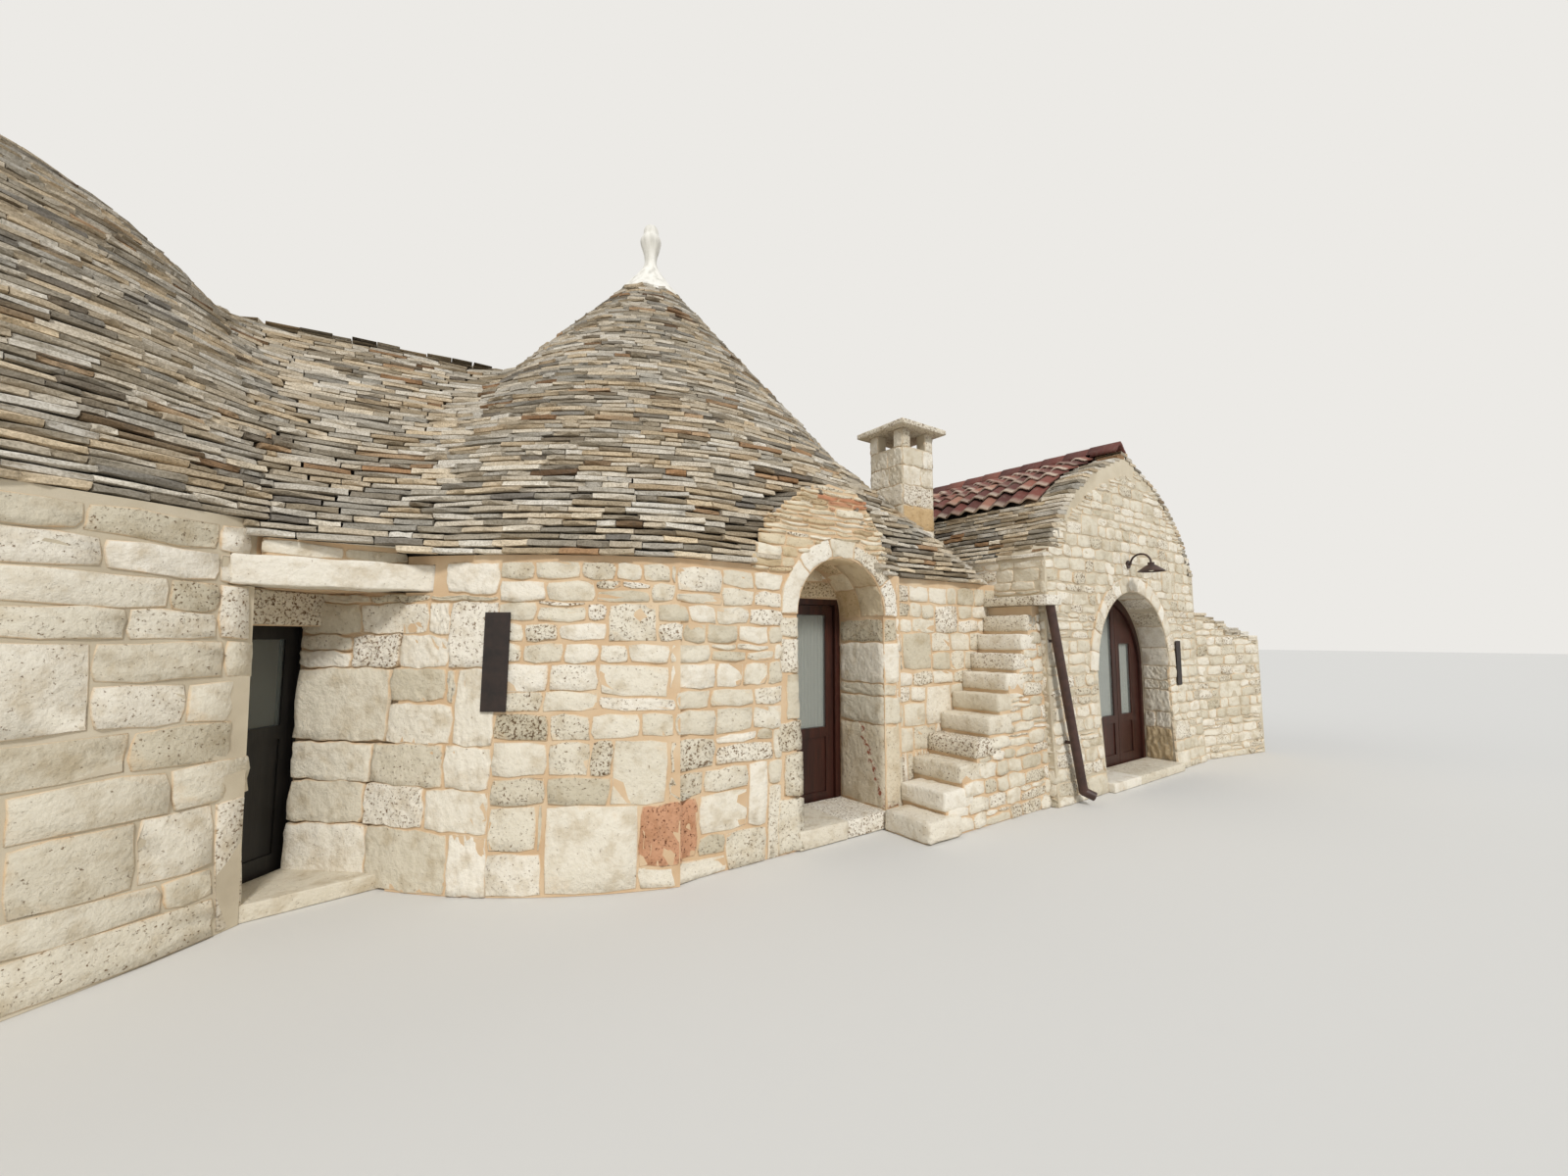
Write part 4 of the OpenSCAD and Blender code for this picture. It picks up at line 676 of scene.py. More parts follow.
def layRoofSlabs():
    rng = np.random.default_rng(slabLook["seed"])
    zones = {"left_roof_slabs": [], "saddle_roof_slabs": [], "middle_roof_slabs": []}
    z = house["middleWall"] + 0.004
    while z < house["coneTop"] - 0.5:
        rise = slabLook["rise"] * rng.uniform(0.94, 1.06)
        for path, valleys in courseLoops(z + rise * 0.75):
            closed = np.vstack([path, path[:1]])
            lengths = np.hypot(*np.diff(closed, axis=0).T)
            total = np.concatenate([[0], np.cumsum(lengths)])
            first = rng.uniform(0, 0.3)
            place = first
            # Once round, until the last slab meets the first
            while place < total[-1] + first - 0.04:
                top = min(max((z - 4.0) / 2.5, 0), 1)
                longest = slabLook["longest"] * (1 - 0.45 * top)
                length = rng.uniform(slabLook["shortest"], longest) * rng.choice([0.75, 1, 1.15])
                length = min(length, total[-1] + first - place)
                middle = (place + length / 2) % total[-1]
                ends = [(place + length * s) % total[-1] for s in (0.08, 0.92)]
                x, y = (np.interp(middle, total, closed[:, i]) for i in (0, 1))
                start, finish = ([np.interp(e, total, closed[:, i]) for i in (0, 1)] for e in ends)
                place += length
                if not keepSlab(x, y, z + rise / 2):
                    continue
                turn = math.atan2(finish[1] - start[1], finish[0] - start[0])
                along = x * towardsLeft[0] + y * towardsLeft[1]
                zone = "middle_roof_slabs"
                fromLeft = math.hypot(x - leftAxis[0], y - leftAxis[1])
                if fromLeft < leftRoofRadius(max(z, house["leftWall"])) + 0.1:
                    zone = "left_roof_slabs"
                elif along > 0 and math.hypot(x, y) > coneRadius(z) + 0.03:
                    zone = "saddle_roof_slabs"
                zones[zone].append((x, y, z, turn, length, rise))
        z += rise
    # The left roof's crown is nearly flat: rings of slabs laid inwards to the pinnacle's skirt
    rise = slabLook["crownRise"]
    for radius in np.arange(slabLook["crownStart"], slabLook["crownEnd"], -slabLook["crownStep"]):
        turn = rng.uniform(0, 1)
        end = turn - 2 * math.pi
        while turn > end + 0.05 / radius:
            length = min(rng.uniform(0.12, 0.3), (turn - end) * radius)
            middle = turn - length / radius / 2
            x, y = leftAxis + radius * np.array([math.cos(middle), math.sin(middle)])
            zones["left_roof_slabs"].append((x, y, leftRoofHeight(radius) - rise, middle - math.pi / 2,
                                             length, rise))
            turn -= length / radius
    return zones


def placeSlabs(name, rows, replaced, seed, look=slabLook):
    rng = np.random.default_rng(seed)
    rows = np.array(rows)
    count = len(rows)
    kinds = [slabTemplate(100 + k) for k in range(6)]
    choice = rng.integers(0, len(kinds), count)
    points, indices, shades, tints = [], [], [], []
    offset = 0
    x, y, z, turn, length, rise = rows.T
    height = rise - look["gap"] - rng.uniform(0, 0.012, count)
    proud = rng.normal(0, look["proud"], count).clip(-0.02, 0.02)
    depth = look["depth"] * rng.uniform(0.9, 1.1, count)
    yaw = rng.normal(0, 0.035, count)
    roll = rng.normal(0, 0.02, count)
    pitch = rng.uniform(0.03, 0.12, count)
    flip = rng.choice([-1, 1], count)
    low = np.clip((z - 2.2) / 4, 0, 1)
    shade = np.clip(rng.beta(1.6, 1.25, count) * (1 - 0.38 * low), 0, 1)
    tint = rng.uniform(0, 1, count)
    for k, (shape, faces) in enumerate(kinds):
        chosen = np.nonzero(choice == k)[0]
        if not len(chosen):
            continue
        c = chosen[:, None]
        # The template's y runs inwards from the face, so a slab's face stands at its course's line
        a = shape[None, :, 0] * (length[c] - 0.004) * flip[c]
        b = (shape[None, :, 1] + 0.5) * depth[c] - proud[c]
        h = (shape[None, :, 2] + 0.5) * height[c]
        h = h + a * np.sin(roll[c]) + (b - 0.05) * np.sin(pitch[c])
        side = a * np.cos(yaw[c]) - b * np.sin(yaw[c])
        inward = a * np.sin(yaw[c]) + b * np.cos(yaw[c])
        cos, sin = np.cos(turn[c]), np.sin(turn[c])
        # The loops run clockwise seen from above, so inwards is to the right of the way
        px = x[c] + side * cos + inward * sin
        py = y[c] + side * sin - inward * cos
        pz = z[c] + h
        block = np.stack([px, py, pz], axis=2)
        points.append(block.reshape(-1, 3))
        turned = faces[None] + (np.arange(len(chosen)) * len(shape))[:, None, None] + offset
        mirrored = flip[chosen] < 0
        turned[mirrored] = turned[mirrored][:, :, ::-1]
        indices.append(turned.reshape(-1, 3))
        shades.append(np.repeat(shade[chosen], len(shape)))
        tints.append(np.repeat(tint[chosen], len(shape)))
        offset += block.shape[0] * block.shape[1]
    piece = joinMesh(name, np.vstack(points), np.vstack(indices), slateMaterial,
                     {"shade": np.concatenate(shades), "tint": np.concatenate(tints)}, False)
    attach(piece, "house")
    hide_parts(replaced)
    print(name, count, "slabs,", sum(len(i) for i in indices), "triangles")


zones = layRoofSlabs()
placeSlabs("left_roof_slabs", zones["left_roof_slabs"], "left_slates", 21)
placeSlabs("saddle_roof_slabs", zones["saddle_roof_slabs"], "saddle_slates", 22)
placeSlabs("middle_roof_slabs", zones["middle_roof_slabs"], "middle_slates", 23)


# Masonry: stones packed at random on each wall face, with the walls themselves as the mortar between

def arc(centre, radius, start, end):
    # Plan points along a circle, degrees
    turns = np.radians(np.linspace(start, end, max(int(abs(end - start)), 2)))
    return np.column_stack([centre[0] + radius * np.cos(turns), centre[1] + radius * np.sin(turns)])


def makePath(points, soft=0.03, step=0.01):
    # Plan line of a wall's face, the outside on its right, with worn corners
    points = np.array(points, float)
    lengths = np.hypot(*np.diff(points, axis=0).T)
    total = np.concatenate([[0], np.cumsum(lengths)])
    places = np.linspace(0, total[-1], int(total[-1] / step) + 1)
    line = np.column_stack([np.interp(places, total, points[:, i]) for i in (0, 1)])
    window = int(soft / step) * 2 + 1
    padded = np.vstack([2 * line[0] - line[window:0:-1], line,
                        2 * line[-1] - line[-2:-window - 2:-1]])
    kernel = np.ones(window) / window
    worn = np.column_stack([np.convolve(padded[:, i], kernel, "same") for i in (0, 1)])[window:-window]
    along = np.gradient(worn, axis=0)
    along /= np.hypot(*along.T)[:, None]
    out = np.column_stack([along[:, 1], -along[:, 0]])
    return {"length": total[-1], "step": places[1], "line": worn, "out": out}


def onPath(path, lean):
    # Maps along, up and out to the world; lean gives how far the face stands out at a height
    def place(s, t, n):
        spot = np.clip(s / path["step"], 0, len(path["line"]) - 1)
        ids = np.arange(len(path["line"]))
        x, y = (np.interp(spot, ids, path["line"][:, i]) for i in (0, 1))
        nx, ny = (np.interp(spot, ids, path["out"][:, i]) for i in (0, 1))
        off = n + lean(t, nx, ny)
        return np.stack([x + nx * off, y + ny * off, t], axis=-1)
    return place


def packStones(width, bottom, top, allowed, look, rng):
    # Rectangles of cells, laid from the ground up: larger ones low, a few long flat ones
    cell = look["cell"]
    columns, rows = int(width / cell), int((top - bottom) / cell)
    s, t = np.meshgrid((np.arange(columns) + 0.5) * width / columns,
                       bottom + (np.arange(rows) + 0.5) * (top - bottom) / rows)
    free = allowed(s, t)
    found = []
    # Courses are higher near the ground
    beds = [0]
    while beds[-1] < rows:
        low = 1 - beds[-1] / max(rows, 1)
        rise = rng.integers(look["high"][0], look["high"][1] + 1) + look["lowExtra"] * low ** 2
        beds.append(beds[-1] + int(rise))
    for row in range(rows):
        low = 1 - row / max(rows - 1, 1)
        bed = next(b for b in beds if b > row)
        above = next((b for b in beds if b > bed), bed)
        for column in range(columns):
            if not free[row, column]:
                continue
            kind = rng.uniform()
            wide = rng.integers(look["wide"][0], look["wide"][1] + 1) + int(look["lowExtra"] * low)
            high = bed - row
            if kind < look["bigShare"] * (0.3 + low):
                wide, high = wide + rng.integers(2, 6), above - row
            elif kind < look["bigShare"] * (0.3 + low) + look["flatShare"]:
                wide, high = wide + rng.integers(0, 5), (high + 1) // 2
            run = 1
            while run < wide + 1 and column + run < columns and free[row, column + run]:
                run += 1
            wide = run
            rise = 1
            while rise < high and row + rise < rows and free[row + rise, column:column + wide].all():
                rise += 1
            # Nothing thinner than a cell is left under the next opening or eave
            if row + rise == rows - 1 and free[row + rise, column:column + wide].all():
                rise += 1
            free[row:row + rise, column:column + wide] = False
            if wide * rise > look["least"]:
                found.append((column, row, wide, rise))
    shift = rng.uniform(-look["jitter"], look["jitter"], (rows + 1, columns + 1, 2)) * cell
    grid = np.stack(np.meshgrid(np.arange(columns + 1) * width / columns,
                                bottom + np.arange(rows + 1) * (top - bottom) / rows), axis=-1) + shift
    grid[0, :, 1] = bottom
    grid[-1, :, 1] = np.minimum(grid[-1, :, 1], top)
    c, r, w, h = np.array(found).T
    return np.stack([grid[r, c], grid[r, c + w], grid[r + h, c + w], grid[r + h, c]], axis=1)


plainFace = faceTemplate()
cornerFace = faceTemplate(16, 6)


# What every stone has unless its job says otherwise, in metres
stoneLook = {
    "face": plainFace, "proud": 0.010, "joint": 0.005, "corner": 0.009, "bulge": 0.004, "rough": 0.004,
    "sway": 0.008, "bottom": 0.0, "bright": 1.0,
}


def layStones(name, jobs, material):
    # jobs are (corners, map, seed, settings); a stone is bulged, rough and rounded at its corners
    chunks, triangles, shades, tints, rims = [], [], [], [], []
    offset = 0
    for corners, place, seed, changes in jobs:
        look = {**stoneLook, **changes}
        rng = np.random.default_rng(seed)
        count = len(corners)
        facePoints, faceTriangles = look["face"]
        u, v = facePoints[:, 0] * 2, facePoints[:, 1] * 2
        ring = -facePoints[:, 2]
        wide = np.linalg.norm(corners[:, 1] - corners[:, 0], axis=1)[:, None]
        high = np.linalg.norm(corners[:, 3] - corners[:, 0], axis=1)[:, None]
        gap = look["joint"] * rng.uniform(0.7, 1.3, (count, 1))
        worn = look["corner"]
        inset = np.where(ring == 0, 0.006, np.where(ring == 1, 0.0, -0.004)) + gap
        corner = (u * v) ** 2
        us = u * (1 - np.minimum(2 * inset / wide, 0.5) - np.minimum(2 * worn / wide, 0.3) * corner)
        vs = v * (1 - np.minimum(2 * inset / high, 0.5) - np.minimum(2 * worn / high, 0.3) * corner)
        a, b = (us + 1) / 2, (vs + 1) / 2
        st = sum(corners[:, None, k] * weight[..., None] for k, weight in
                 enumerate([(1 - a) * (1 - b), a * (1 - b), a * b, (1 - a) * b]))
        s, t = st[..., 0], st[..., 1]
        s = s + 0.005 * np.sin(31 * t + 9 * s + seed) + 0.003 * np.sin(67 * t + 3 * seed)
        t = t + 0.005 * np.sin(23 * s + 5 * t + 2 * seed) + 0.003 * np.sin(51 * s + seed)
        t = t + look["sway"] * np.sin(2.1 * s + seed)
        t = np.maximum(t, look["bottom"])
        out = look["proud"] * rng.uniform(0.5, 1.3, (count, 1))
        rough = rng.normal(0, look["rough"], (count, len(u)))
        tilt = rng.normal(0, 0.003, (count, 1)) * u + rng.normal(0, 0.003, (count, 1)) * v
        bulge = look["bulge"] * rng.uniform(0, 1, (count, 1)) * (1 - u ** 2) * (1 - v ** 2)
        n = np.where(ring == 0, out + bulge + rough + tilt, np.where(ring == 1, out * 0.45, -0.02))
        points = place(s, t, n)
        probe = [place(np.array(s[0, 0]) + d[0], np.array(t[0, 0]) + d[1], np.array(0.0) + d[2])
                 for d in ((0, 0, 0), (0.02, 0, 0), (0, 0.02, 0), (0, 0, 0.02))]
        hand = np.dot(np.cross(probe[1] - probe[0], probe[2] - probe[0]), probe[3] - probe[0])
        faces = faceTriangles if hand > 0 else faceTriangles[:, ::-1]
        starts = (np.arange(count) * len(u))[:, None, None] + offset
        triangles.append((faces[None] + starts).reshape(-1, 3))
        chunks.append(points.reshape(-1, 3))
        shades.append(np.repeat(rng.beta(1.8, 1.4, count) * look["bright"], len(u)))
        tints.append(np.repeat(rng.uniform(0, 1, count) ** 2, len(u)))
        edge = np.where(ring > 0, 1.0, np.where(np.maximum(abs(u), abs(v)) > 0.9, 0.6, 0.1))
        rims.append(np.tile(edge, count))
        offset += count * len(u)
    points = np.clip(np.vstack(chunks), cadBox[0], cadBox[1])
    piece = joinMesh(name, points, np.vstack(triangles), material,
                     {"shade": np.concatenate(shades), "tint": np.concatenate(tints),
                      "rim": np.concatenate(rims)}, True)
    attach(piece, "house")
    stones = sum(len(job[0]) for job in jobs)
    print(name, stones, "stones,", sum(len(part) for part in triangles), "triangles")


def plumb(t, nx, ny):
    return 0 * t


def leftLean(t, nx, ny):
    return house["batter"] * (1 - t / house["leftWall"])


def middleLean(t, nx, ny):
    # The round wall leans, the flat front and the reveals don't
    flat = ((np.abs(nx) < 0.05) & (ny < 0)) | (np.abs(ny) < 0.05)
    return np.where(flat, 0, house["batter"] * (1 - t / house["middleWall"]))


def gableLean(t, nx, ny):
    # Piers widen towards the ground, on the front alone
    profile = np.interp(t, [0, house["archSpring"] * 0.6, house["archSpring"]],
                        [house["batter"], house["batter"] / 4, 0])
    return profile * np.maximum(-ny, 0)


def fromLeftDoor(d, n):
    angle = house["doorAngle"]
    return (house["leftX"] + d * math.cos(angle) - n * math.sin(angle),
            house["leftY"] + d * math.sin(angle) + n * math.cos(angle))


# Sizes of stones by wall: cell in metres, wide and high in cells, shares of big and of flat stones
bigBlocks = {
    "cell": 0.055, "bigShare": 0.12, "flatShare": 0.1, "wide": (5, 10), "high": (3, 4), "least": 2,
    "jitter": 0.3, "lowExtra": 3.0,
}
doorBlocks = {
    "cell": 0.055, "bigShare": 0.1, "flatShare": 0.05, "wide": (6, 9), "high": (4, 5), "least": 2,
    "jitter": 0.25, "lowExtra": 2.0,
}
roundBlocks = {
    "cell": 0.045, "bigShare": 0.1, "flatShare": 0.06, "wide": (3, 6), "high": (3, 4), "least": 2,
    "jitter": 0.3, "lowExtra": 3.0,
}
smallBlocks = {
    "cell": 0.045, "bigShare": 0.03, "flatShare": 0.05, "wide": (3, 6), "high": (2, 3), "least": 2,
    "jitter": 0.25, "lowExtra": 0.6,
}
hoodBlocks = {
    "cell": 0.04, "bigShare": 0.0, "flatShare": 0.3, "wide": (3, 7), "high": (1, 2), "least": 1,
    "jitter": 0.2, "lowExtra": 0.0,
}
stair = {"start": 0.84, "rise": 0.187, "going": 0.25, "shorter": 0.018, "steps": 10, "deep": 0.5}


def blockRow(ends, low, high):
    # Corners of the blocks of one course
    return [[(a, low), (b, low), (b, high), (a, high)] for a, b in zip(ends[:-1], ends[1:])]


def stackBlocks(start, end, beds, rng):
    # One block on another from the ground up, with uneven sides
    rows = []
    for low, high in zip(beds[:-1], beds[1:]):
        left = start + (rng.uniform(-0.06, 0.06) if start > 0.01 else 0)
        right = end + (rng.uniform(-0.06, 0.06) if start < 0.01 else 0)
        rows += blockRow([left, right], low, high)
    return np.array(rows)


def stairLine(x):
    # Top of the stair over a place along the front, and its risers; each step is a bit shorter
    risers = [stair["start"]]
    for i in range(stair["steps"]):
        risers.append(risers[-1] + stair["going"] - stair["shorter"] * i)
    return np.interp(x, risers, stair["rise"] * np.arange(stair["steps"] + 1)), risers


def everywhere(s, t):
    # Stones on the whole of a face
    return t < 9


def gableTop(x):
    centre = house["gableX"] + house["gableWidth"] / 2
    half = house["gableWidth"] / 2
    shares = [-1, -0.9, -0.735, -0.49, 0, 0.49, 0.735, 0.9, 1]
    eave, ridge = house["gableEave"], house["gableRidge"]
    rising = [eave, eave + 0.35, eave + 0.7, ridge - 0.36]
    return np.interp((x - centre) / half, shares, rising + [ridge] + rising[::-1])


def layWalls():
    # Left room: once round from the back to the left reveal
    ring = 0.01
    backLeft = math.degrees(math.atan2(-towardsLeft[1], -towardsLeft[0])) % 360 - 360
    backLeft += math.degrees(math.asin((house["saddleHalf"] - house["eaveOut"]) / house["leftRadius"]))
    mouth = math.degrees(house["doorAngle"] + math.asin(house["doorNear"] / house["leftRadius"]))
    path = makePath(np.vstack([arc(leftAxis, house["leftRadius"], backLeft, mouth + 360),
                               fromLeftDoor(house["doorFace"] + ring, house["doorNear"])]))
    rng = np.random.default_rng(31)
    corners = packStones(path["length"], 0, house["leftWall"] - 0.05, everywhere, bigBlocks, rng)
    look = {"proud": 0.013, "rough": 0.005}
    layStones("left_wall_stones", [(corners, onPath(path, leftLean), 31, look)], blockMaterial)

    # Middle room: right reveal of the left door, round wall, flat front, left reveal of its own door
    near = house["doorFar"]
    start = np.array(fromLeftDoor(0, near))
    step = np.array(fromLeftDoor(1, near)) - start
    b = np.dot(start, step)
    reach = -b - math.sqrt(b * b - np.dot(start, start) + house["middleRadius"] ** 2)
    meet = start + step * reach
    turn = math.degrees(math.atan2(meet[1], meet[0]))
    flat = math.degrees(math.asin(house["middleFront"] / house["middleRadius"]))
    doorLeft = house["midDoorX"] - house["midDoorWidth"] / 2
    doorRight = house["midDoorX"] + house["midDoorWidth"] / 2
    path = makePath(np.vstack([fromLeftDoor(house["doorFace"] + ring, near),
                               arc((0, 0), house["middleRadius"], turn, flat - 180),
                               (doorLeft, -house["middleFront"]), (doorLeft, -house["midDoorY"] - ring)]))
    leftMap = onPath(path, middleLean)

    def clearOfArch(place, start, end):
        def allowed(s, t):
            spot = place(s, t, 0 * s)
            x, y, z = spot[..., 0], spot[..., 1], spot[..., 2]
            outer = house["midDoorWidth"] / 2 + house["midRing"] + 0.015
            high = z > house["midSpring"] - 0.02
            fromArch = np.hypot(x - house["midDoorX"], z - house["midSpring"])
            inArch = high & (fromArch < outer) & (y < -2.6)
            lintel = (x < -2.43) & (z > 1.94) & (z < 2.15) & (y < -1.9)
            stair, risers = stairLine(x)
            behind = (x > 0.9) & (y > -3.24) & (z < stair - 0.12)
            return ~inArch & ~lintel & ~behind & (s > start) & (s < end)
        return allowed

    # Large blocks by the left door, coursed ones further on and tall ones at the middle door
    rng = np.random.default_rng(32)
    top = house["middleWall"] - 0.045
    depth = house["middleFront"] - house["midDoorY"]
    jamb = path["length"] - depth - 0.14
    corners = packStones(path["length"], 0, top, clearOfArch(leftMap, -1, 1.5), doorBlocks, rng)
    jobs = [(corners, leftMap, 32, {"face": cornerFace, "joint": 0.004})]
    corners = packStones(path["length"], 0, top, clearOfArch(leftMap, 1.5, jamb), roundBlocks, rng)
    middle = corners.mean(axis=1)
    spots = leftMap(middle[:, 0], middle[:, 1], 0.0)
    red = np.linalg.norm(spots - np.array([-0.96, -3.35, 0.36]), axis=1).argmin()
    layStones("red_wall_stone", [(corners[[red]], leftMap, 25, {"face": cornerFace, "rough": 0.008})],
              burntMaterial)
    jobs.append((np.delete(corners, red, axis=0), leftMap, 29, {}))
    jambLook = {"face": cornerFace, "joint": 0.004, "proud": 0.012, "rough": 0.003, "sway": 0.0}
    beds = [0.0, 0.42, 0.76, 1.0, 1.36, 1.64, house["midSpring"] - 0.02]
    jobs.append((stackBlocks(jamb, path["length"], beds, rng), leftMap, 28, jambLook))
    # Right of the door: its reveal in big blocks, then the wall over the stair
    path = makePath([(doorRight, -house["midDoorY"] - ring), (doorRight, -house["middleFront"]),
                     (house["flatEnd"], -house["middleFront"]), (house["flatEnd"], -house["stairFront"]),
                     (house["gableX"], -house["stairFront"])])
    rightMap = onPath(path, plumb)
    rng = np.random.default_rng(33)
    beds = [0.0, 0.15, 0.87, 1.12, 1.23, 1.6, house["midSpring"] - 0.02]
    corners = stackBlocks(0, depth + 0.17, beds, rng)
    stained = corners[:, 0, 1].argsort()[1:2]
    layStones("stained_jamb_stone", [(corners[stained], rightMap, 27, {**jambLook, "bright": 0.8})],
              jambMaterial)
    jobs.append((np.delete(corners, stained, axis=0), rightMap, 26, jambLook))
    allowed = clearOfArch(rightMap, depth + 0.14, 99)
    corners = packStones(path["length"], 0, top, allowed, roundBlocks, rng)
    jobs.append((corners, rightMap, 33, {}))
    # The wall over the left door's lintel
    path = makePath([(-3.4, -2.33), (-2.64, -2.2)])
    corners = packStones(path["length"], 2.145, 2.245, everywhere, roundBlocks, rng)
    jobs.append((corners, onPath(path, plumb), 34, {"bottom": 2.142}))
    # Back of the middle room and of the saddle
    side = math.degrees(math.atan2(towardsLeft[1], towardsLeft[0]))
    offset = house["saddleHalf"] - house["eaveOut"]
    endTurn = side - math.degrees(math.asin(offset / house["middleRadius"]))
    startTurn = math.degrees(math.acos(house["gableX"] / house["middleRadius"]))
    path = makePath(arc((0, 0), house["middleRadius"], startTurn, endTurn))
    corners = packStones(path["length"], 0, top, everywhere, roundBlocks, rng)
    jobs.append((corners, onPath(path, middleLean), 35, {}))
    ends = [math.sqrt(house["middleRadius"] ** 2 - offset ** 2),
            axisGap - math.sqrt(house["leftRadius"] ** 2 - offset ** 2)]
    path = makePath([tuple(towardsLeft * e - towardsFront * offset) for e in ends])
    corners = packStones(path["length"], 0, house["saddleEave"] - 0.05, everywhere, roundBlocks, rng)
    jobs.append((corners, onPath(path, plumb), 36, {}))
    layStones("middle_wall_stones", jobs, blockMaterial)

    # Gabled room, all round from where its side comes out of the middle roof
    x0, x1 = house["gableX"], house["gableX"] + house["gableWidth"]
    path = makePath([(x0, -1.6), (x0, -house["gableFront"]), (x1, -house["gableFront"]),
                     (x1, house["gableBack"]), (x0, house["gableBack"])])
    gableMap = onPath(path, gableLean)

    def gableAllowed(s, t):
        spot = gableMap(s, t, 0 * s)
        x, y, z = spot[..., 0], spot[..., 1], spot[..., 2]
        # The apex and the upper left verge are rendered smooth
        rendered = np.where((x > 3.1) & (x < 4.7), 0.26, 0.1)
        facing = np.abs(x - (x0 + x1) / 2) < house["gableWidth"] / 2 - 0.01
        top = np.where(facing, gableTop(x) - rendered, house["gableEave"] - 0.06)
        outer = house["archRadius"] + house["archRing"] + 0.015
        inRing = np.hypot(x - house["archX"], np.maximum(z - house["archSpring"], 0)) < outer
        opening = np.abs(x - house["archX"]) < house["archRadius"] + 0.01
        inArch = np.where(z > house["archSpring"], inRing, opening) & (y < -3.5)
        hidden = (x < x0 + 0.05) & (y > -3.2) & (z < 2.2)
        behindSlab = (x < x0 + 0.05) & (y < -3.2) & (z > 1.94) & (z < 2.07)
        return (z < top) & ~inArch & ~hidden & ~behindSlab

    rng = np.random.default_rng(37)
    corners = packStones(path["length"], 0, house["gableRidge"] - 0.08, gableAllowed, smallBlocks, rng)
    jobs = [(corners, gableMap, 37, {"proud": 0.009, "joint": 0.003, "bright": 0.9})]
    # Squared blocks in the archway's reveals, two of their courses in two pieces; the lowest is rough
    revealCourses = [(0.1, 0.5, 0), (0.5, 0.7, 0.13), (0.7, 0.98, 0), (0.98, 1.1, 0.19), (1.1, 1.28, 0)]
    revealLook = {"face": cornerFace, "proud": 0.008, "joint": 0.003, "bottom": 0.1, "sway": 0.0}
    footLook = {**revealLook, "rough": 0.009, "bright": 0.35}
    for side, name in ((-1, "reveal_foot_left"), (1, "reveal_foot_right")):
        x = house["archX"] + side * house["archRadius"]
        path = makePath([(x, 0.31 * side / 2 - 3.6275), (x, -0.31 * side / 2 - 3.6275)])
        rows = []
        for low, high, cut in revealCourses:
            rows += blockRow([0, cut, path["length"]] if cut else [0, path["length"]], low, high)
        place = onPath(path, plumb)
        jobs.append((np.array(rows[1:]), place, 38, revealLook))
        layStones(name, [(np.array(rows[:1]), place, 39, footLook)], hoodMaterial)
    layStones("gable_wall_stones", jobs, blockMaterial)


layWalls()


# Arches: large smooth stones in front and on the soffits

def onRing(centreX, centreZ, front, middle):
    # Along the arch from left to right at its middle radius, outwards, and towards the viewer
    def place(s, t, n):
        turn = math.pi - s / middle
        x, z = centreX + t * np.cos(turn), centreZ + t * np.sin(turn)
        return np.stack([x, -front - n + 0 * turn, z], axis=-1)
    return place


def onSoffit(centreX, centreZ, front, radius):
    def place(s, t, n):
        turn = math.pi - s / radius
        return np.stack([centreX + (radius - n) * np.cos(turn), -front + t,
                         centreZ + (radius - n) * np.sin(turn)], axis=-1)
    return place


def cutRow(length, low, high, pieces, rng, uneven=0.2, start=0.0):
    # One row of stones with uneven ends
    ends = np.linspace(0, length, pieces + 1)
    ends[1:-1] += rng.uniform(-uneven, uneven, pieces - 1) * length / pieces
    return np.array(blockRow(ends + start, low, high))


smoothLook = {
    "sway": 0.0, "proud": 0.008, "joint": 0.0025, "corner": 0.004, "bulge": 0.003, "rough": 0.0015,
    "bottom": -9.0,
}


def layArches():
    rng = np.random.default_rng(41)
    inner = house["midDoorWidth"] / 2
    outer = inner + house["midRing"]
    middle = (inner + outer) / 2
    front = onRing(house["midDoorX"], house["midSpring"], house["middleFront"] + 0.015, middle)
    soffit = onSoffit(house["midDoorX"], house["midSpring"], house["middleFront"] + 0.01, inner)
    row = cutRow(math.pi * middle, inner + 0.004, outer + 0.03, 5, rng)
    look = {**smoothLook, "face": cornerFace}
    layStones("middle_ring_stones", [(row, front, 41, look)], dressedMaterial)
    jobs = []
    for low, high, pieces in ((0.0, 0.3, 5), (0.3, 0.585, 6)):
        row = cutRow(math.pi * inner, low, high, pieces, rng)
        jobs.append((row, soffit, 42 + pieces, {**smoothLook, "proud": 0.006}))
    # Blocks over the door frame, at the back of the arch
    left = house["midDoorX"] - inner
    path = makePath([(left, -house["midDoorY"]), (left + house["midDoorWidth"], -house["midDoorY"])])
    back = onPath(path, plumb)
    jobs.append((cutRow(0.92, 2.01, 2.165, 2, rng, 0.1, 0.03), back, 43, smoothLook))
    jobs.append((cutRow(0.56, 2.17, 2.285, 1, rng, 0, 0.2), back, 44, smoothLook))
    layStones("middle_soffit_stones", jobs, ochreMaterial)

    inner = house["archRadius"]
    outer = inner + house["archRing"]
    middle = (inner + outer) / 2
    front = onRing(house["archX"], house["archSpring"], house["gableFront"] + 0.012, middle)
    soffit = onSoffit(house["archX"], house["archSpring"], house["gableFront"] + 0.008, inner)
    jobs = [(cutRow(math.pi * middle, inner + 0.002, outer + 0.02, 15, rng, 0.12), front, 45,
             {**smoothLook, "proud": 0.006, "joint": 0.0015})]
    row = cutRow(math.pi * inner, 0.0, 0.315, 11, rng)
    jobs.append((row, soffit, 46, {**smoothLook, "proud": 0.005}))
    layStones("gable_arch_stones", jobs, dressedMaterial)


layArches()


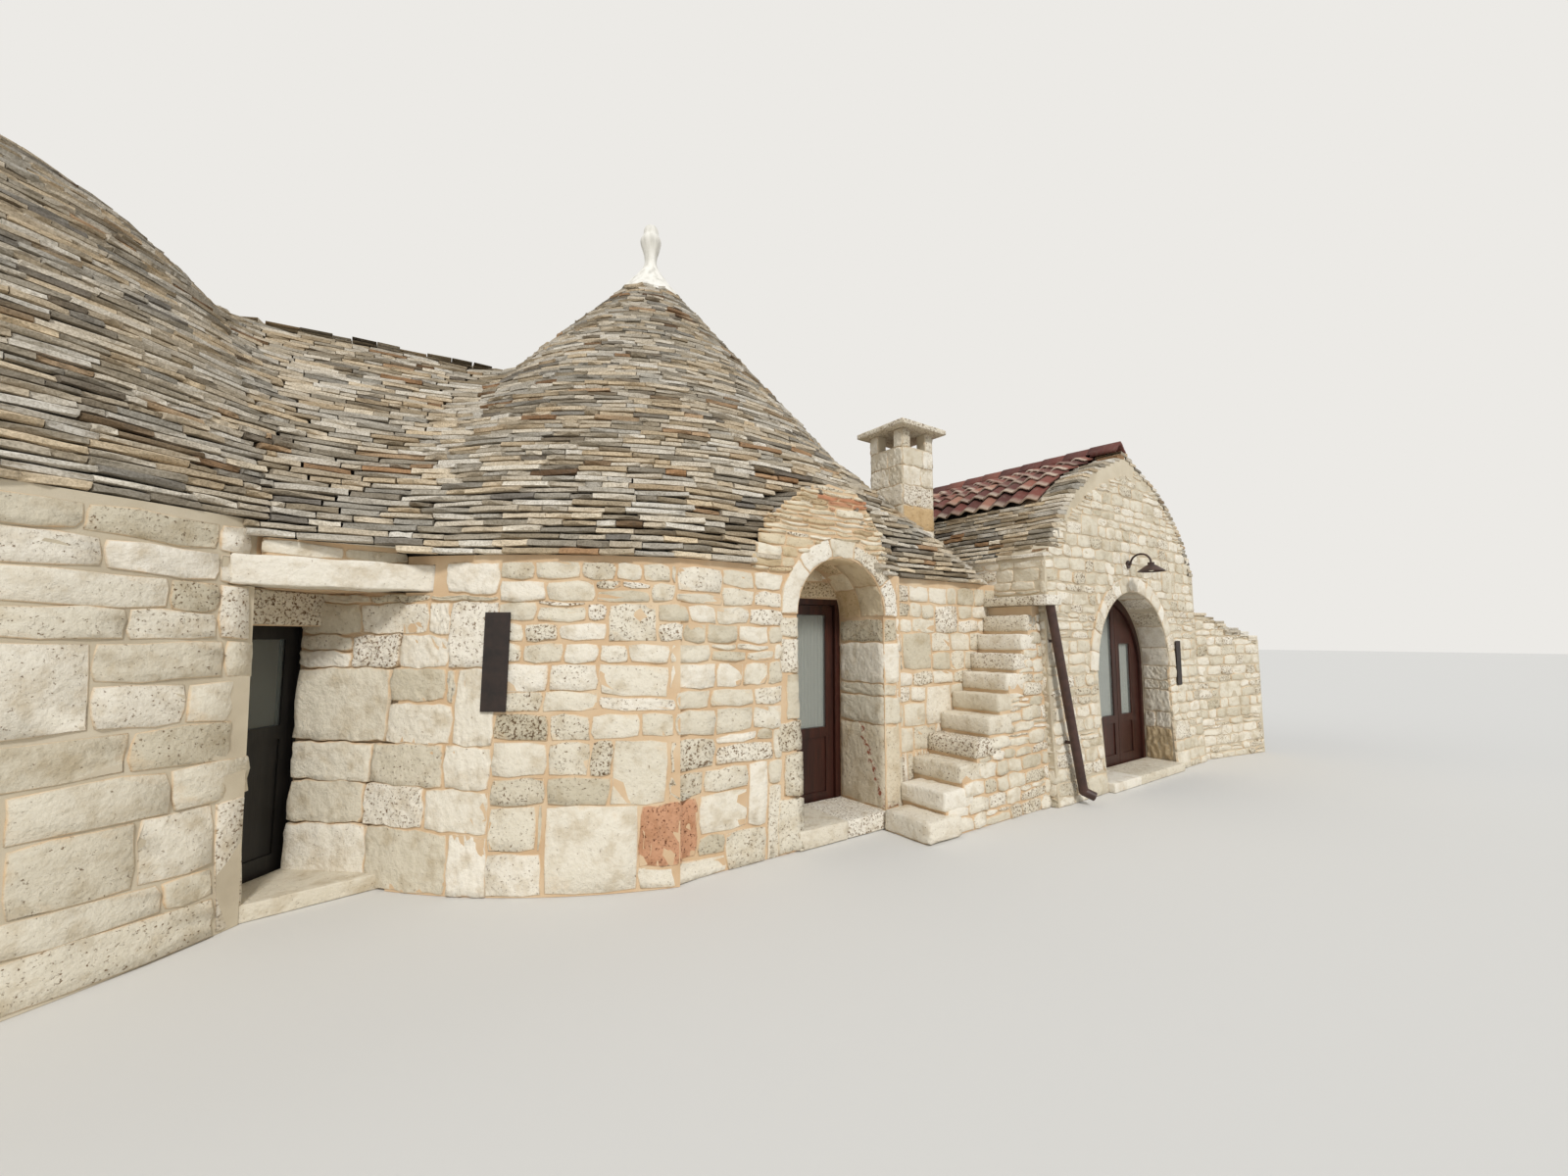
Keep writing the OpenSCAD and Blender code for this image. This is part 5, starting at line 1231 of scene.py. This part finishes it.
# Hood over the middle door: thin cream courses, with burnt orange stones near its top on the right

def layHood():
    path = makePath([(-0.6, -house["middleFront"] - 0.012), (1.04, -house["middleFront"] - 0.012)])
    place = onPath(path, plumb)

    def allowed(s, t):
        spot = place(s, t, 0 * s)
        x, z = spot[..., 0], spot[..., 2]
        outer = house["midDoorWidth"] / 2 + house["midRing"] + 0.02
        left, right = hoodSides(z)
        ring = np.hypot(x - house["midDoorX"], z - house["midSpring"]) < outer
        return ~ring & (x > left - 0.09) & (x < right + 0.03) & (z < 2.92)

    rng = np.random.default_rng(47)
    corners = packStones(path["length"], 2.16, 2.96, allowed, hoodBlocks, rng)
    centre = corners.mean(axis=1)
    burnt = (centre[:, 0] > 0.8) & (centre[:, 0] < 1.25) & (centre[:, 1] > 2.72) & (centre[:, 1] < 2.82)
    look = {"proud": 0.016, "joint": 0.003, "corner": 0.006}
    layStones("hood_stones", [(corners[~burnt], place, 47, look)], hoodMaterial)
    layStones("burnt_stones", [(corners[burnt], place, 48, look)], burntMaterial)


layHood()


# Dressed blocks, each shaped by itself: stair, doorsteps, lintels, spout, chimney cap and coping

def dressedBlock(span, rng, bevel=0.012, rough=0.005, size=0.09):
    # Points and triangles of a block about its middle, with worn edges and uneven faces
    bm = bmesh.new()
    bmesh.ops.create_cube(bm, size=1.0)
    for axis in range(3):
        along = [e for e in bm.edges if abs((e.verts[0].co - e.verts[1].co)[axis]) > 1e-4]
        cuts = int(span[axis] / size)
        if cuts:
            bmesh.ops.subdivide_edges(bm, edges=along, cuts=cuts, use_grid_fill=True)
    bmesh.ops.scale(bm, verts=bm.verts, vec=span)
    sharp = [e for e in bm.edges if len(e.link_faces) == 2 and e.calc_face_angle() > 1.0]
    bmesh.ops.bevel(bm, geom=sharp, offset=bevel, affect="EDGES", segments=2, profile=0.5,
                    material=-1)
    phase = rng.uniform(0, 40, 3)
    for vert in bm.verts:
        spot = np.array(vert.co) + phase
        wave = np.sin(spot[[1, 2, 0]] * 17) + np.sin(spot[[2, 0, 1]] * 37 + 1.3)
        wave += rng.uniform(-1.2, 1.2, 3)
        vert.co -= Vector(np.array(vert.co) / (np.array(span) / 2) * (0.5 + 0.16 * wave) * rough)
    bm.verts.index_update()
    return templateArrays(bm)


def addBlock(parts, low, high, rng, turn=0.0, shade=None, pits=None, **form):
    # One block between two corners, turned about its middle
    low, high = np.array(low), np.array(high)
    points, faces = dressedBlock(high - low, rng, **form)
    cos, sin = math.cos(turn), math.sin(turn)
    x, y = points[:, 0].copy(), points[:, 1].copy()
    points[:, 0], points[:, 1] = x * cos - y * sin, x * sin + y * cos
    tone = rng.uniform(0.2, 1) if shade is None else shade
    dents = rng.uniform(0.1, 1)
    parts.append((points + (low + high) / 2, faces, tone, dents if pits is None else pits))


def joinBlocks(name, parts, material, replaced=None):
    points, indices, shades, tints = [], [], [], []
    offset = 0
    for shape, faces, tone, pits in parts:
        points.append(shape)
        indices.append(faces + offset)
        shades.append(np.full(len(shape), tone))
        tints.append(np.zeros(len(shape)) + pits)
        offset += len(shape)
    points = np.clip(np.vstack(points), cadBox[0], cadBox[1])
    piece = joinMesh(name, points, np.vstack(indices), material,
                     {"shade": np.concatenate(shades), "tint": np.concatenate(tints),
                      "rim": np.full(offset, 0.2)}, True)
    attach(piece, "house")
    if replaced:
        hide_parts(replaced)
    print(name, len(parts), "blocks,", sum(len(i) for i in indices), "triangles")


def layStair():
    rng = np.random.default_rng(51)
    risers = stairLine(0.0)[1]
    rise, steps = stair["rise"], stair["steps"]
    face = house["stairFront"] + stair["deep"]
    landing = rise * (steps + 1)

    def flankLean(t, nx, ny):
        return house["batter"] * (1 - t / landing)

    parts = []
    for i in range(steps):
        top = (i + 1) * rise
        out = flankLean(top, 0, 0) + rng.uniform(0.012, 0.032) + (0.04 if i == 0 else 0)
        low = 0 if i == 0 else top - rise + rng.uniform(0.006, 0.016)
        start = risers[i] - 0.03
        # The lowest blocks meet the doorstep or the wall's flat front
        back = house["stairFront"]
        if start < house["flatEnd"]:
            back = house["middleFront"] + (0.04 if i == 0 else 0)
        right = min(risers[i + 1] + rng.uniform(0.12, 0.2), house["gableX"])
        addBlock(parts, (start, -face - out, low), (right, -back, top), rng, bevel=0.024,
                 rough=0.016)
    joinBlocks("stair_blocks", parts, dressedMaterial, "stair_treads")

    # The landing's slab, and the pale spout slab that runs on along the gabled front
    parts = []
    end, front = risers[steps], house["gableFront"]
    addBlock(parts, (end - 0.09, -front - 0.004, landing - 0.098),
             (house["gableX"], -house["stairFront"], landing - 0.002), rng, bevel=0.01, shade=0.35)
    addBlock(parts, (end - 0.1, -front - 0.15, landing - 0.1), (end + 0.17, -front - 0.002, landing),
             rng, bevel=0.009, rough=0.003, shade=1.0)
    joinBlocks("landing_slabs", parts, dressedMaterial, "landing_spout")

    path = makePath([(stair["start"], -face), (house["gableX"], -face)])
    place = onPath(path, flankLean)

    def allowed(s, t):
        x = place(s, t, 0 * s)[..., 0]
        step = np.searchsorted(risers, x - 0.02) - 1
        return (t < rise * np.clip(step, 0, steps) + 0.02) & (x > 1.1)

    corners = packStones(path["length"], 0, rise * 10.6, allowed, smallBlocks, rng)
    look = {"proud": 0.014, "joint": 0.004}
    layStones("stair_flank_stones", [(corners, place, 52, look)], blockMaterial)


layStair()


def layThresholds():
    rng = np.random.default_rng(55)
    parts = []
    left = house["midDoorX"] - house["midDoorWidth"] / 2
    front = house["middleFront"] + 0.04
    addBlock(parts, (left, -front, 0), (left + 0.5, -house["midDoorY"], 0.15), rng)
    addBlock(parts, (left + 0.502, -front + 0.005, 0),
             (left + house["midDoorWidth"], -house["midDoorY"], 0.147), rng)
    start = house["archX"] - house["archRadius"]
    for a, b in ((0, 0.62), (0.623, 1.28), (1.283, 1.8)):
        addBlock(parts, (start + a, -house["gableFront"] - 0.13, 0),
                 (start + b, -house["gableFront"] + house["archDepth"], 0.1), rng, bevel=0.01,
                 rough=0.003)
    # The left step's front edge runs across the notch: a block skewed to it
    near, far = house["doorNear"], house["doorFar"]
    points, faces = dressedBlock((1.0, far - near, 0.1), rng, bevel=0.01, rough=0.003)
    middle = (near + far) / 2
    share = (points[:, 1] - near + middle) / (far - near)
    reach = 0.305 + 0.48 * np.clip(share, 0, 1)
    x, y = fromLeftDoor(house["doorFace"] + (points[:, 0] + 0.5) * reach, points[:, 1] + middle)
    parts.append((np.column_stack([x, y, points[:, 2] + 0.05]), faces, 0.3, 0.2))
    joinBlocks("doorstep_slabs", parts, dressedMaterial, "thresholds")

    parts = []
    addBlock(parts, (-3.533, -2.391, 1.95), (-2.453, -2.061, 2.14), rng, turn=math.radians(1),
             shade=0.85, pits=0.12, bevel=0.014, rough=0.016, size=0.06)
    joinBlocks("left_lintel_stone", parts, dressedMaterial, "left_lintel")
    # Inner lintel of the same doorway, lower and further in
    x, y = fromLeftDoor(3.9, middle)
    parts = []
    addBlock(parts, (x - 0.065, y - 0.3, 1.724), (x + 0.065, y + 0.3, 1.948), rng,
             turn=house["doorAngle"], shade=0.3)
    joinBlocks("inner_lintel_stone", parts, dressedMaterial)


layThresholds()


# Chimney: squared blocks round the shaft, posts at its openings, a slab and a low pyramid on top

chimney = {
    "x": 1.96, "y": -2.55, "wide": 0.51, "deep": 0.5, "seam": 0.2, "post": 0.125, "top": 4.0,
    "beds": [2.3, 2.62, 2.86, 3.12, 3.36, 3.58, 3.79], "capHalf": 0.37, "capThick": 0.062,
}


def layChimney():
    rng = np.random.default_rng(57)
    x0, y0, wide, deep = (chimney[key] for key in ("x", "y", "wide", "deep"))
    # Once round from the back, where the path's two ends meet
    seam, beds, top = chimney["seam"], chimney["beds"], chimney["top"]
    path = makePath([(x0 + seam, y0 + deep), (x0, y0 + deep), (x0, y0), (x0 + wide, y0),
                     (x0 + wide, y0 + deep), (x0 + seam, y0 + deep)], soft=0.012)
    place = onPath(path, plumb)
    corners = np.array([seam, seam + deep, seam + deep + wide, seam + 2 * deep + wide])
    spans = [(0, corners[0])] + list(zip(corners[:-1], corners[1:])) + [(corners[-1], path["length"])]
    rows = []
    for low, high in zip(beds[:-1], beds[1:]):
        for first, last in spans:
            cut = first + rng.uniform(0.16, 0.36)
            halved = rng.uniform() < 0.35 and cut < last - 0.1
            rows += blockRow([first, cut, last] if halved else [first, last], low, high)
    # The posts between the openings, one at each corner
    for corner in corners:
        rows += blockRow([corner - chimney["post"], corner, corner + chimney["post"]], beds[-1], top)
    rows = np.array(rows)
    look = {**smoothLook, "proud": 0.006, "joint": 0.0015, "rough": 0.004, "face": cornerFace}
    # A burnt block shows at the foot of the front
    middle = place(rows[:, :, 0].mean(axis=1), rows[:, :, 1].mean(axis=1), 0.0)
    burnt = (middle[:, 1] < y0 + 0.03) & (middle[:, 2] > beds[2]) & (middle[:, 2] < beds[3])
    layStones("chimney_stones", [(rows[~burnt], place, 57, look)], dressedMaterial)
    layStones("chimney_burnt_stones", [(rows[burnt], place, 58, {**look, "bright": 0.15})],
              ochreMaterial)

    parts = []
    centreX, centreY, half = x0 + wide / 2, y0 + deep / 2, chimney["capHalf"]
    addBlock(parts, (centreX - half, centreY - half, top),
             (centreX + half, centreY + half, top + chimney["capThick"]), rng, shade=0.5, bevel=0.008)
    bm = bmesh.new()
    bmesh.ops.create_cone(bm, cap_ends=True, segments=4, radius1=half * 1.37, radius2=0.085,
                          depth=0.11)
    bmesh.ops.rotate(bm, verts=bm.verts, cent=(0, 0, 0), matrix=Matrix.Rotation(math.pi / 4, 3, "Z"))
    bmesh.ops.subdivide_edges(bm, edges=bm.edges, cuts=3, use_grid_fill=True)
    sharp = [e for e in bm.edges if len(e.link_faces) == 2 and e.calc_face_angle() > 0.3]
    bmesh.ops.bevel(bm, geom=sharp, offset=0.006, affect="EDGES", segments=1, profile=0.5,
                    material=-1)
    bm.verts.index_update()
    points, faces = templateArrays(bm)
    points += rng.normal(0, 0.0015, points.shape)
    parts.append((points + [centreX, centreY, top + 0.115], faces, 0.5, 0.3))
    joinBlocks("chimney_cap_slab", parts, dressedMaterial, "chimney_cap")


layChimney()


# Low wall at the right end, with rough slabs in steps along its top

lowWall = {"long": 1.41, "skew": 0.3, "high": 1.98, "drop": 0.38}


def layLowWall():
    x0 = house["gableX"] + house["gableWidth"]
    front, long, skew = house["gableFront"], lowWall["long"], lowWall["skew"]
    path = makePath([(x0, -front), (x0 + long, -front - skew), (x0 + long, -front + 0.5),
                     (x0, -front + 0.8)])
    place = onPath(path, plumb)

    def wallTop(x):
        return lowWall["high"] - lowWall["drop"] * (x - x0) / long

    def allowed(s, t):
        return t < wallTop(place(s, t, 0 * s)[..., 0]) - 0.02

    rng = np.random.default_rng(61)
    corners = packStones(path["length"], 0, lowWall["high"], allowed, smallBlocks, rng)
    layStones("low_wall_stones", [(corners, place, 61, {"joint": 0.004})], blockMaterial)

    parts = []
    turn = -math.atan2(skew, long)
    x = x0 + 0.005
    while x < x0 + long:
        end = min(x + rng.uniform(0.16, 0.34), x0 + long + 0.035)
        shift = -skew * ((x + end) / 2 - x0) / long
        for layer in (0, 1):
            low = wallTop(end) + layer * 0.036
            cut = rng.uniform(-0.012, 0.05)
            addBlock(parts, (x + cut / 2, -front + shift - 0.035 + cut, low),
                     (end + cut / 2, -front + shift + 0.83 - cut, low + 0.034 + rng.uniform(0, 0.012)),
                     rng, turn=turn, bevel=0.005, rough=0.006, size=0.2)
        x = end
    joinBlocks("coping_slabs", parts, slateMaterial, "low_wall_coping")


layLowWall()


# Gabled roof: slates low down and along the verges, rows of clay tiles above them

# Corners of a slope, out from the ridge and up from the ground, and their distances from the eave
gableProfile = np.array([(1.84, 2.5), (1.656, 2.85), (1.352, 3.2), (0.902, 3.52), (0.0, 3.88)])
gableSteps = np.hypot(*np.diff(gableProfile, axis=0).T)
gableRun = np.concatenate([[0], np.cumsum(gableSteps)])


def onGable(s):
    # Point and outward normal at a distance s up from the eave
    spot = np.array([np.interp(s, gableRun, gableProfile[:, i]) for i in (0, 1)])
    part = min(int(np.searchsorted(gableRun, s, side="right")) - 1, len(gableSteps) - 1)
    up = (gableProfile[part + 1] - gableProfile[part]) / gableSteps[part]
    return spot, np.array([up[1], -up[0]])


def layGableSlates():
    rng = np.random.default_rng(63)
    centre = house["gableX"] + house["gableWidth"] / 2
    rows = []
    z = 2.464
    while z < house["gableRidge"] - 0.06:
        rise = slabLook["rise"] * rng.uniform(0.94, 1.06) * (0.85 if z > 3.2 else 1)
        half = gableHalfAt(max(z + rise * 0.7, 2.5)) + (0.03 if z < 2.5 else 0)
        low, high = -house["gableFront"] - 0.01, house["gableBack"] + 0.01
        spans = [(low, high)] if z < 3.13 else [(low, low + 0.3), (high - 0.3, high)]
        for side in (-1, 1):
            for start, end in spans:
                y = start
                while y < end - 0.04:
                    length = min(rng.uniform(0.14, 0.36), end - y)
                    middle = y + length / 2
                    # The lower left slope runs in under the middle roof
                    hidden = False
                    if side < 0 and middle > -3.3 and z < 3.15:
                        phi = np.array([math.atan2(middle, centre - half)])
                        hidden = middleRoofRadius(phi, z)[0] > math.hypot(centre - half, middle) + 0.1
                    if length > 0.05 and not hidden:
                        rows.append((centre + side * half, middle, z, -side * math.pi / 2, length, rise))
                    y += length
        z += rise
    placeSlabs("gable_roof_slabs", rows, "gable_slates", 64)


layGableSlates()


tileLook = {
    "wide": 0.21, "long": 0.33, "thick": 0.022, "arch": 0.045, "row": 0.25, "across": 0.985,
    "ridgeWide": 0.26, "ridgeLong": 0.36, "ridgeRow": 0.31, "ridgeHigh": 3.896,
}


def layTiles():
    # A tile: a gently arched sheet, its eaves end lifted over the row below
    bm = bmesh.new()
    bmesh.ops.create_grid(bm, x_segments=6, y_segments=2, size=0.5)
    top = list(bm.faces)
    made = bmesh.ops.extrude_face_region(bm, geom=top)
    lower = [g for g in made["geom"] if isinstance(g, bmesh.types.BMVert)]
    bmesh.ops.translate(bm, verts=lower, vec=(0, 0, tileLook["thick"]))
    for vert in bm.verts:
        if abs(vert.co.y) < 0.1:
            vert.co.y = -0.22
        vert.co.z += tileLook["arch"] * math.cos(math.pi * vert.co.x) ** 2
    bmesh.ops.recalc_face_normals(bm, faces=bm.faces)
    bm.verts.index_update()
    shape, faces = templateArrays(bm)
    # The tile's lower end gets the pale edge: part bleaching, part painted highlight
    paleFootBleachAndHighlight = np.where(shape[:, 1] < -0.48, 1.0, 0.0)
    rng = np.random.default_rng(66)
    centre = house["gableX"] + house["gableWidth"] / 2
    wide, long = tileLook["wide"], tileLook["long"]
    parts = []
    starts = np.arange(gableRun[2] - 0.06, gableRun[-1] - 0.1, tileLook["row"])
    for side in (-1, 1):
        for start in starts:
            y = -3.47 + rng.uniform(-0.01, 0.01)
            while y < house["gableBack"] - 0.3:
                # Both ends stand off along the slope's normal at the tile's head
                spotTop, out = onGable(min(start + long, gableRun[-1]))
                lift = (0.02 if start > starts[0] else -0.015) + rng.uniform(0, 0.008)
                foot = onGable(start)[0] + out * lift
                head = spotTop + out * -0.02
                way = (head - foot) / np.hypot(*(head - foot))
                normal = np.array([way[1], -way[0]])
                b = (shape[:, 1] + 0.5) * long
                plane = foot[None] + b[:, None] * way + (shape[:, 2])[:, None] * normal
                skew = rng.normal(0, 0.006)
                along = y + (shape[:, 0] + 0.5) * wide + skew * b
                points = np.column_stack([centre + side * plane[:, 0], along, plane[:, 1]])
                turned = faces if side > 0 else faces[:, ::-1]
                tone = min(rng.beta(1.6, 2.2) * 1.1, 1)
                parts.append((points, turned, tone, paleFootBleachAndHighlight * rng.uniform(0.2, 1)))
                y += wide * tileLook["across"]
    # Ridge tiles lie along the top, each over the next
    y = -3.75
    while y < house["gableBack"] - 0.1:
        high = shape[:, 2] * 1.9 - shape[:, 0] ** 2 * 0.12 + shape[:, 1] * 0.012
        points = np.column_stack([centre + shape[:, 0] * tileLook["ridgeWide"],
                                  y + (shape[:, 1] + 0.5) * tileLook["ridgeLong"],
                                  tileLook["ridgeHigh"] + high])
        parts.append((points, faces, rng.uniform(0.1, 0.8), 0.0))
        y += tileLook["ridgeRow"]
    joinBlocks("clay_tiles", parts, tileMaterial, "gable_tiles")


layTiles()


# Pinnacles: lime plaster spun by hand, a skirt, neck, bulge and ball

def spinPinnacles():
    # Radius and height at each knot of the profile, in shares of the skirt's radius
    skirt = 0.42
    shares = np.array([(1.0, -0.24), (1.0, 0.0), (0.7, 0.38), (0.4, 0.785), (0.25, 1.025),
                       (0.174, 1.24), (0.202, 1.475), (0.298, 1.81), (0.326, 1.93), (0.31, 2.025),
                       (0.23, 2.13), (0.23, 2.285), (0.202, 2.393), (0.12, 2.464), (0.0, 2.488)]) * skirt
    knots = np.concatenate([[0], np.cumsum(np.hypot(*np.diff(shares, axis=0).T))])
    fine = np.linspace(0, knots[-1], 70)
    radius, height = (np.interp(fine, knots, shares[:, i]) for i in (0, 1))
    for line in (radius, height):
        line[1:-1] = (line[:-2] + 2 * line[1:-1] + line[2:]) / 4
        line[1:-1] = (line[:-2] + 2 * line[1:-1] + line[2:]) / 4
    bm = bmesh.new()
    for x, y, z in ((0, 0, house["coneTop"] - house["conePitch"] * skirt),
                    (house["leftX"], house["leftY"], house["leftCrown"] + 0.02)):
        line = [bm.verts.new((x + r, y, z + h)) for r, h in zip(radius, height)]
        edges = [bm.edges.new(pair) for pair in zip(line[:-1], line[1:])]
        bmesh.ops.spin(bm, geom=line + edges, cent=(x, y, 0), axis=(0, 0, 1), angle=2 * math.pi,
                       steps=64, use_merge=True)
        for vert in bm.verts:
            spot = vert.co
            wave = math.sin(spot.z * 31 + spot.x * 12) + math.sin(spot.y * 27 - spot.z * 14 + 1)
            if math.hypot(spot.x - x, spot.y - y) < 0.43 and spot.z < z + 1.04:
                vert.co.x += (spot.x - x) * 0.012 * wave
                vert.co.y += (spot.y - y) * 0.012 * wave
    bmesh.ops.remove_doubles(bm, verts=bm.verts, dist=0.0005)
    bmesh.ops.recalc_face_normals(bm, faces=bm.faces)
    mesh = bpy.data.meshes.new("spun_pinnacles")
    bm.to_mesh(mesh)
    bm.free()
    mesh.polygons.foreach_set("use_smooth", np.ones(len(mesh.polygons), bool))
    mesh.materials.append(plasterMaterial)
    piece = bpy.data.objects.new("spun_pinnacles", mesh)
    bpy.context.scene.collection.objects.link(piece)
    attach(piece, "house")
    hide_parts("pinnacles")
    print("pinnacles spun")


spinPinnacles()


# Curtains: voile gathered on two wires behind each pane

voileLook = {"fold": 0.043, "swing": 0.0052, "column": 0.0045, "rows": 24}


def hangCurtain(name, node, body, archX=None):
    low, high = [np.array(corner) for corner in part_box(node)]
    depth = (low[1] + high[1]) / 2
    wide, tall = high[0] - low[0] - 0.004, high[2] - low[2] - 0.006
    bm = bmesh.new()
    bmesh.ops.create_grid(bm, x_segments=int(wide / voileLook["column"]), y_segments=voileLook["rows"],
                          size=0.5)
    rng = np.random.default_rng(len(name))
    phases = rng.uniform(0, 6, 3)
    for vert in bm.verts:
        a, b = vert.co.x + 0.5, vert.co.y + 0.5
        x = low[0] + 0.002 + a * wide
        top = high[2] - 0.003
        if archX is not None:
            # The head follows the arched leaf
            reach = house["archRadius"] - 0.06 - 0.005 - 0.09 - 0.003
            top = 1.24 + math.sqrt(max(reach ** 2 - (x - archX) ** 2, 0.0))
        bottom = low[2] + 0.003
        turn = 2 * math.pi * a * wide / voileLook["fold"] + 1.2 * math.sin(a * 7 + phases[0]) + 0.4 * b
        swing = voileLook["swing"] * math.sin(turn) * (0.75 + 0.25 * math.sin(a * 23 + phases[1]))
        vert.co = (x, depth + swing, bottom + b * (top - bottom))
    area = sum(f.calc_area() for f in bm.faces)
    mesh = bpy.data.meshes.new(name)
    bm.to_mesh(mesh)
    bm.free()
    mesh.polygons.foreach_set("use_smooth", np.ones(len(mesh.polygons), bool))
    mesh.materials.append(voileMaterial)
    piece = bpy.data.objects.new(name, mesh)
    bpy.context.scene.collection.objects.link(piece)
    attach(piece, body)
    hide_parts(node)


hangCurtain("middle_voile", "middle_curtain", "middle_leaf")
hangCurtain("gable_voile_left", "gable_curtain_left", "gable_leaf_l", house["archX"])
hangCurtain("gable_voile_right", "gable_curtain_right", "gable_leaf_r")


# Stage: a plain pale floor and soft studio light

def makeStage():
    mesh = bpy.data.meshes.new("studioFloor")
    bm = bmesh.new()
    bmesh.ops.create_grid(bm, x_segments=1, y_segments=1, size=90)
    bm.to_mesh(mesh)
    bm.free()
    floor = bpy.data.objects.new("studioFloor", mesh)
    bpy.context.scene.collection.objects.link(floor)
    floor.location.z = -0.002
    material, tree, place, shader = newMaterial("paleFloor")
    shader.inputs["Base Color"].default_value = hexColour("#d9d7d2")
    shader.inputs["Roughness"].default_value = 0.95
    mesh.materials.append(material)

    world = bpy.data.worlds.new("studioWorld")
    bpy.context.scene.world = world
    world.use_nodes = True
    tree = world.node_tree
    tree.nodes.clear()
    rays = addNode(tree, "ShaderNodeLightPath")
    light = addNode(tree, "ShaderNodeBackground", {"Color": hexColour("#eef1f5"), "Strength": 0.62})
    shown = addNode(tree, "ShaderNodeBackground", {"Color": hexColour("#eceae6"), "Strength": 1.0})
    seen = rays.outputs["Is Camera Ray"]
    for kind in ("Is Glossy Ray", "Is Transmission Ray"):
        seen = addNode(tree, "ShaderNodeMath", {0: seen, 1: rays.outputs[kind]},
                       operation="MAXIMUM").outputs[0]
    both = addNode(tree, "ShaderNodeMixShader", {0: seen, 1: light.outputs[0], 2: shown.outputs[0]})
    addNode(tree, "ShaderNodeOutputWorld", {"Surface": both.outputs[0]})

    lamps = [("keyLamp", (math.radians(50), 0, math.radians(-15)), 1.9, 10),
             ("fillLamp", (math.radians(60), 0, math.radians(-110)), 0.5, 25)]
    for name, turn, strength, spread in lamps:
        data = bpy.data.lights.new(name, "SUN")
        data.energy = strength
        data.angle = math.radians(spread)
        lamp = bpy.data.objects.new(name, data)
        bpy.context.scene.collection.objects.link(lamp)
        lamp.rotation_euler = turn


makeStage()
bpy.context.scene.view_settings.view_transform = "Standard"
print("stage set")
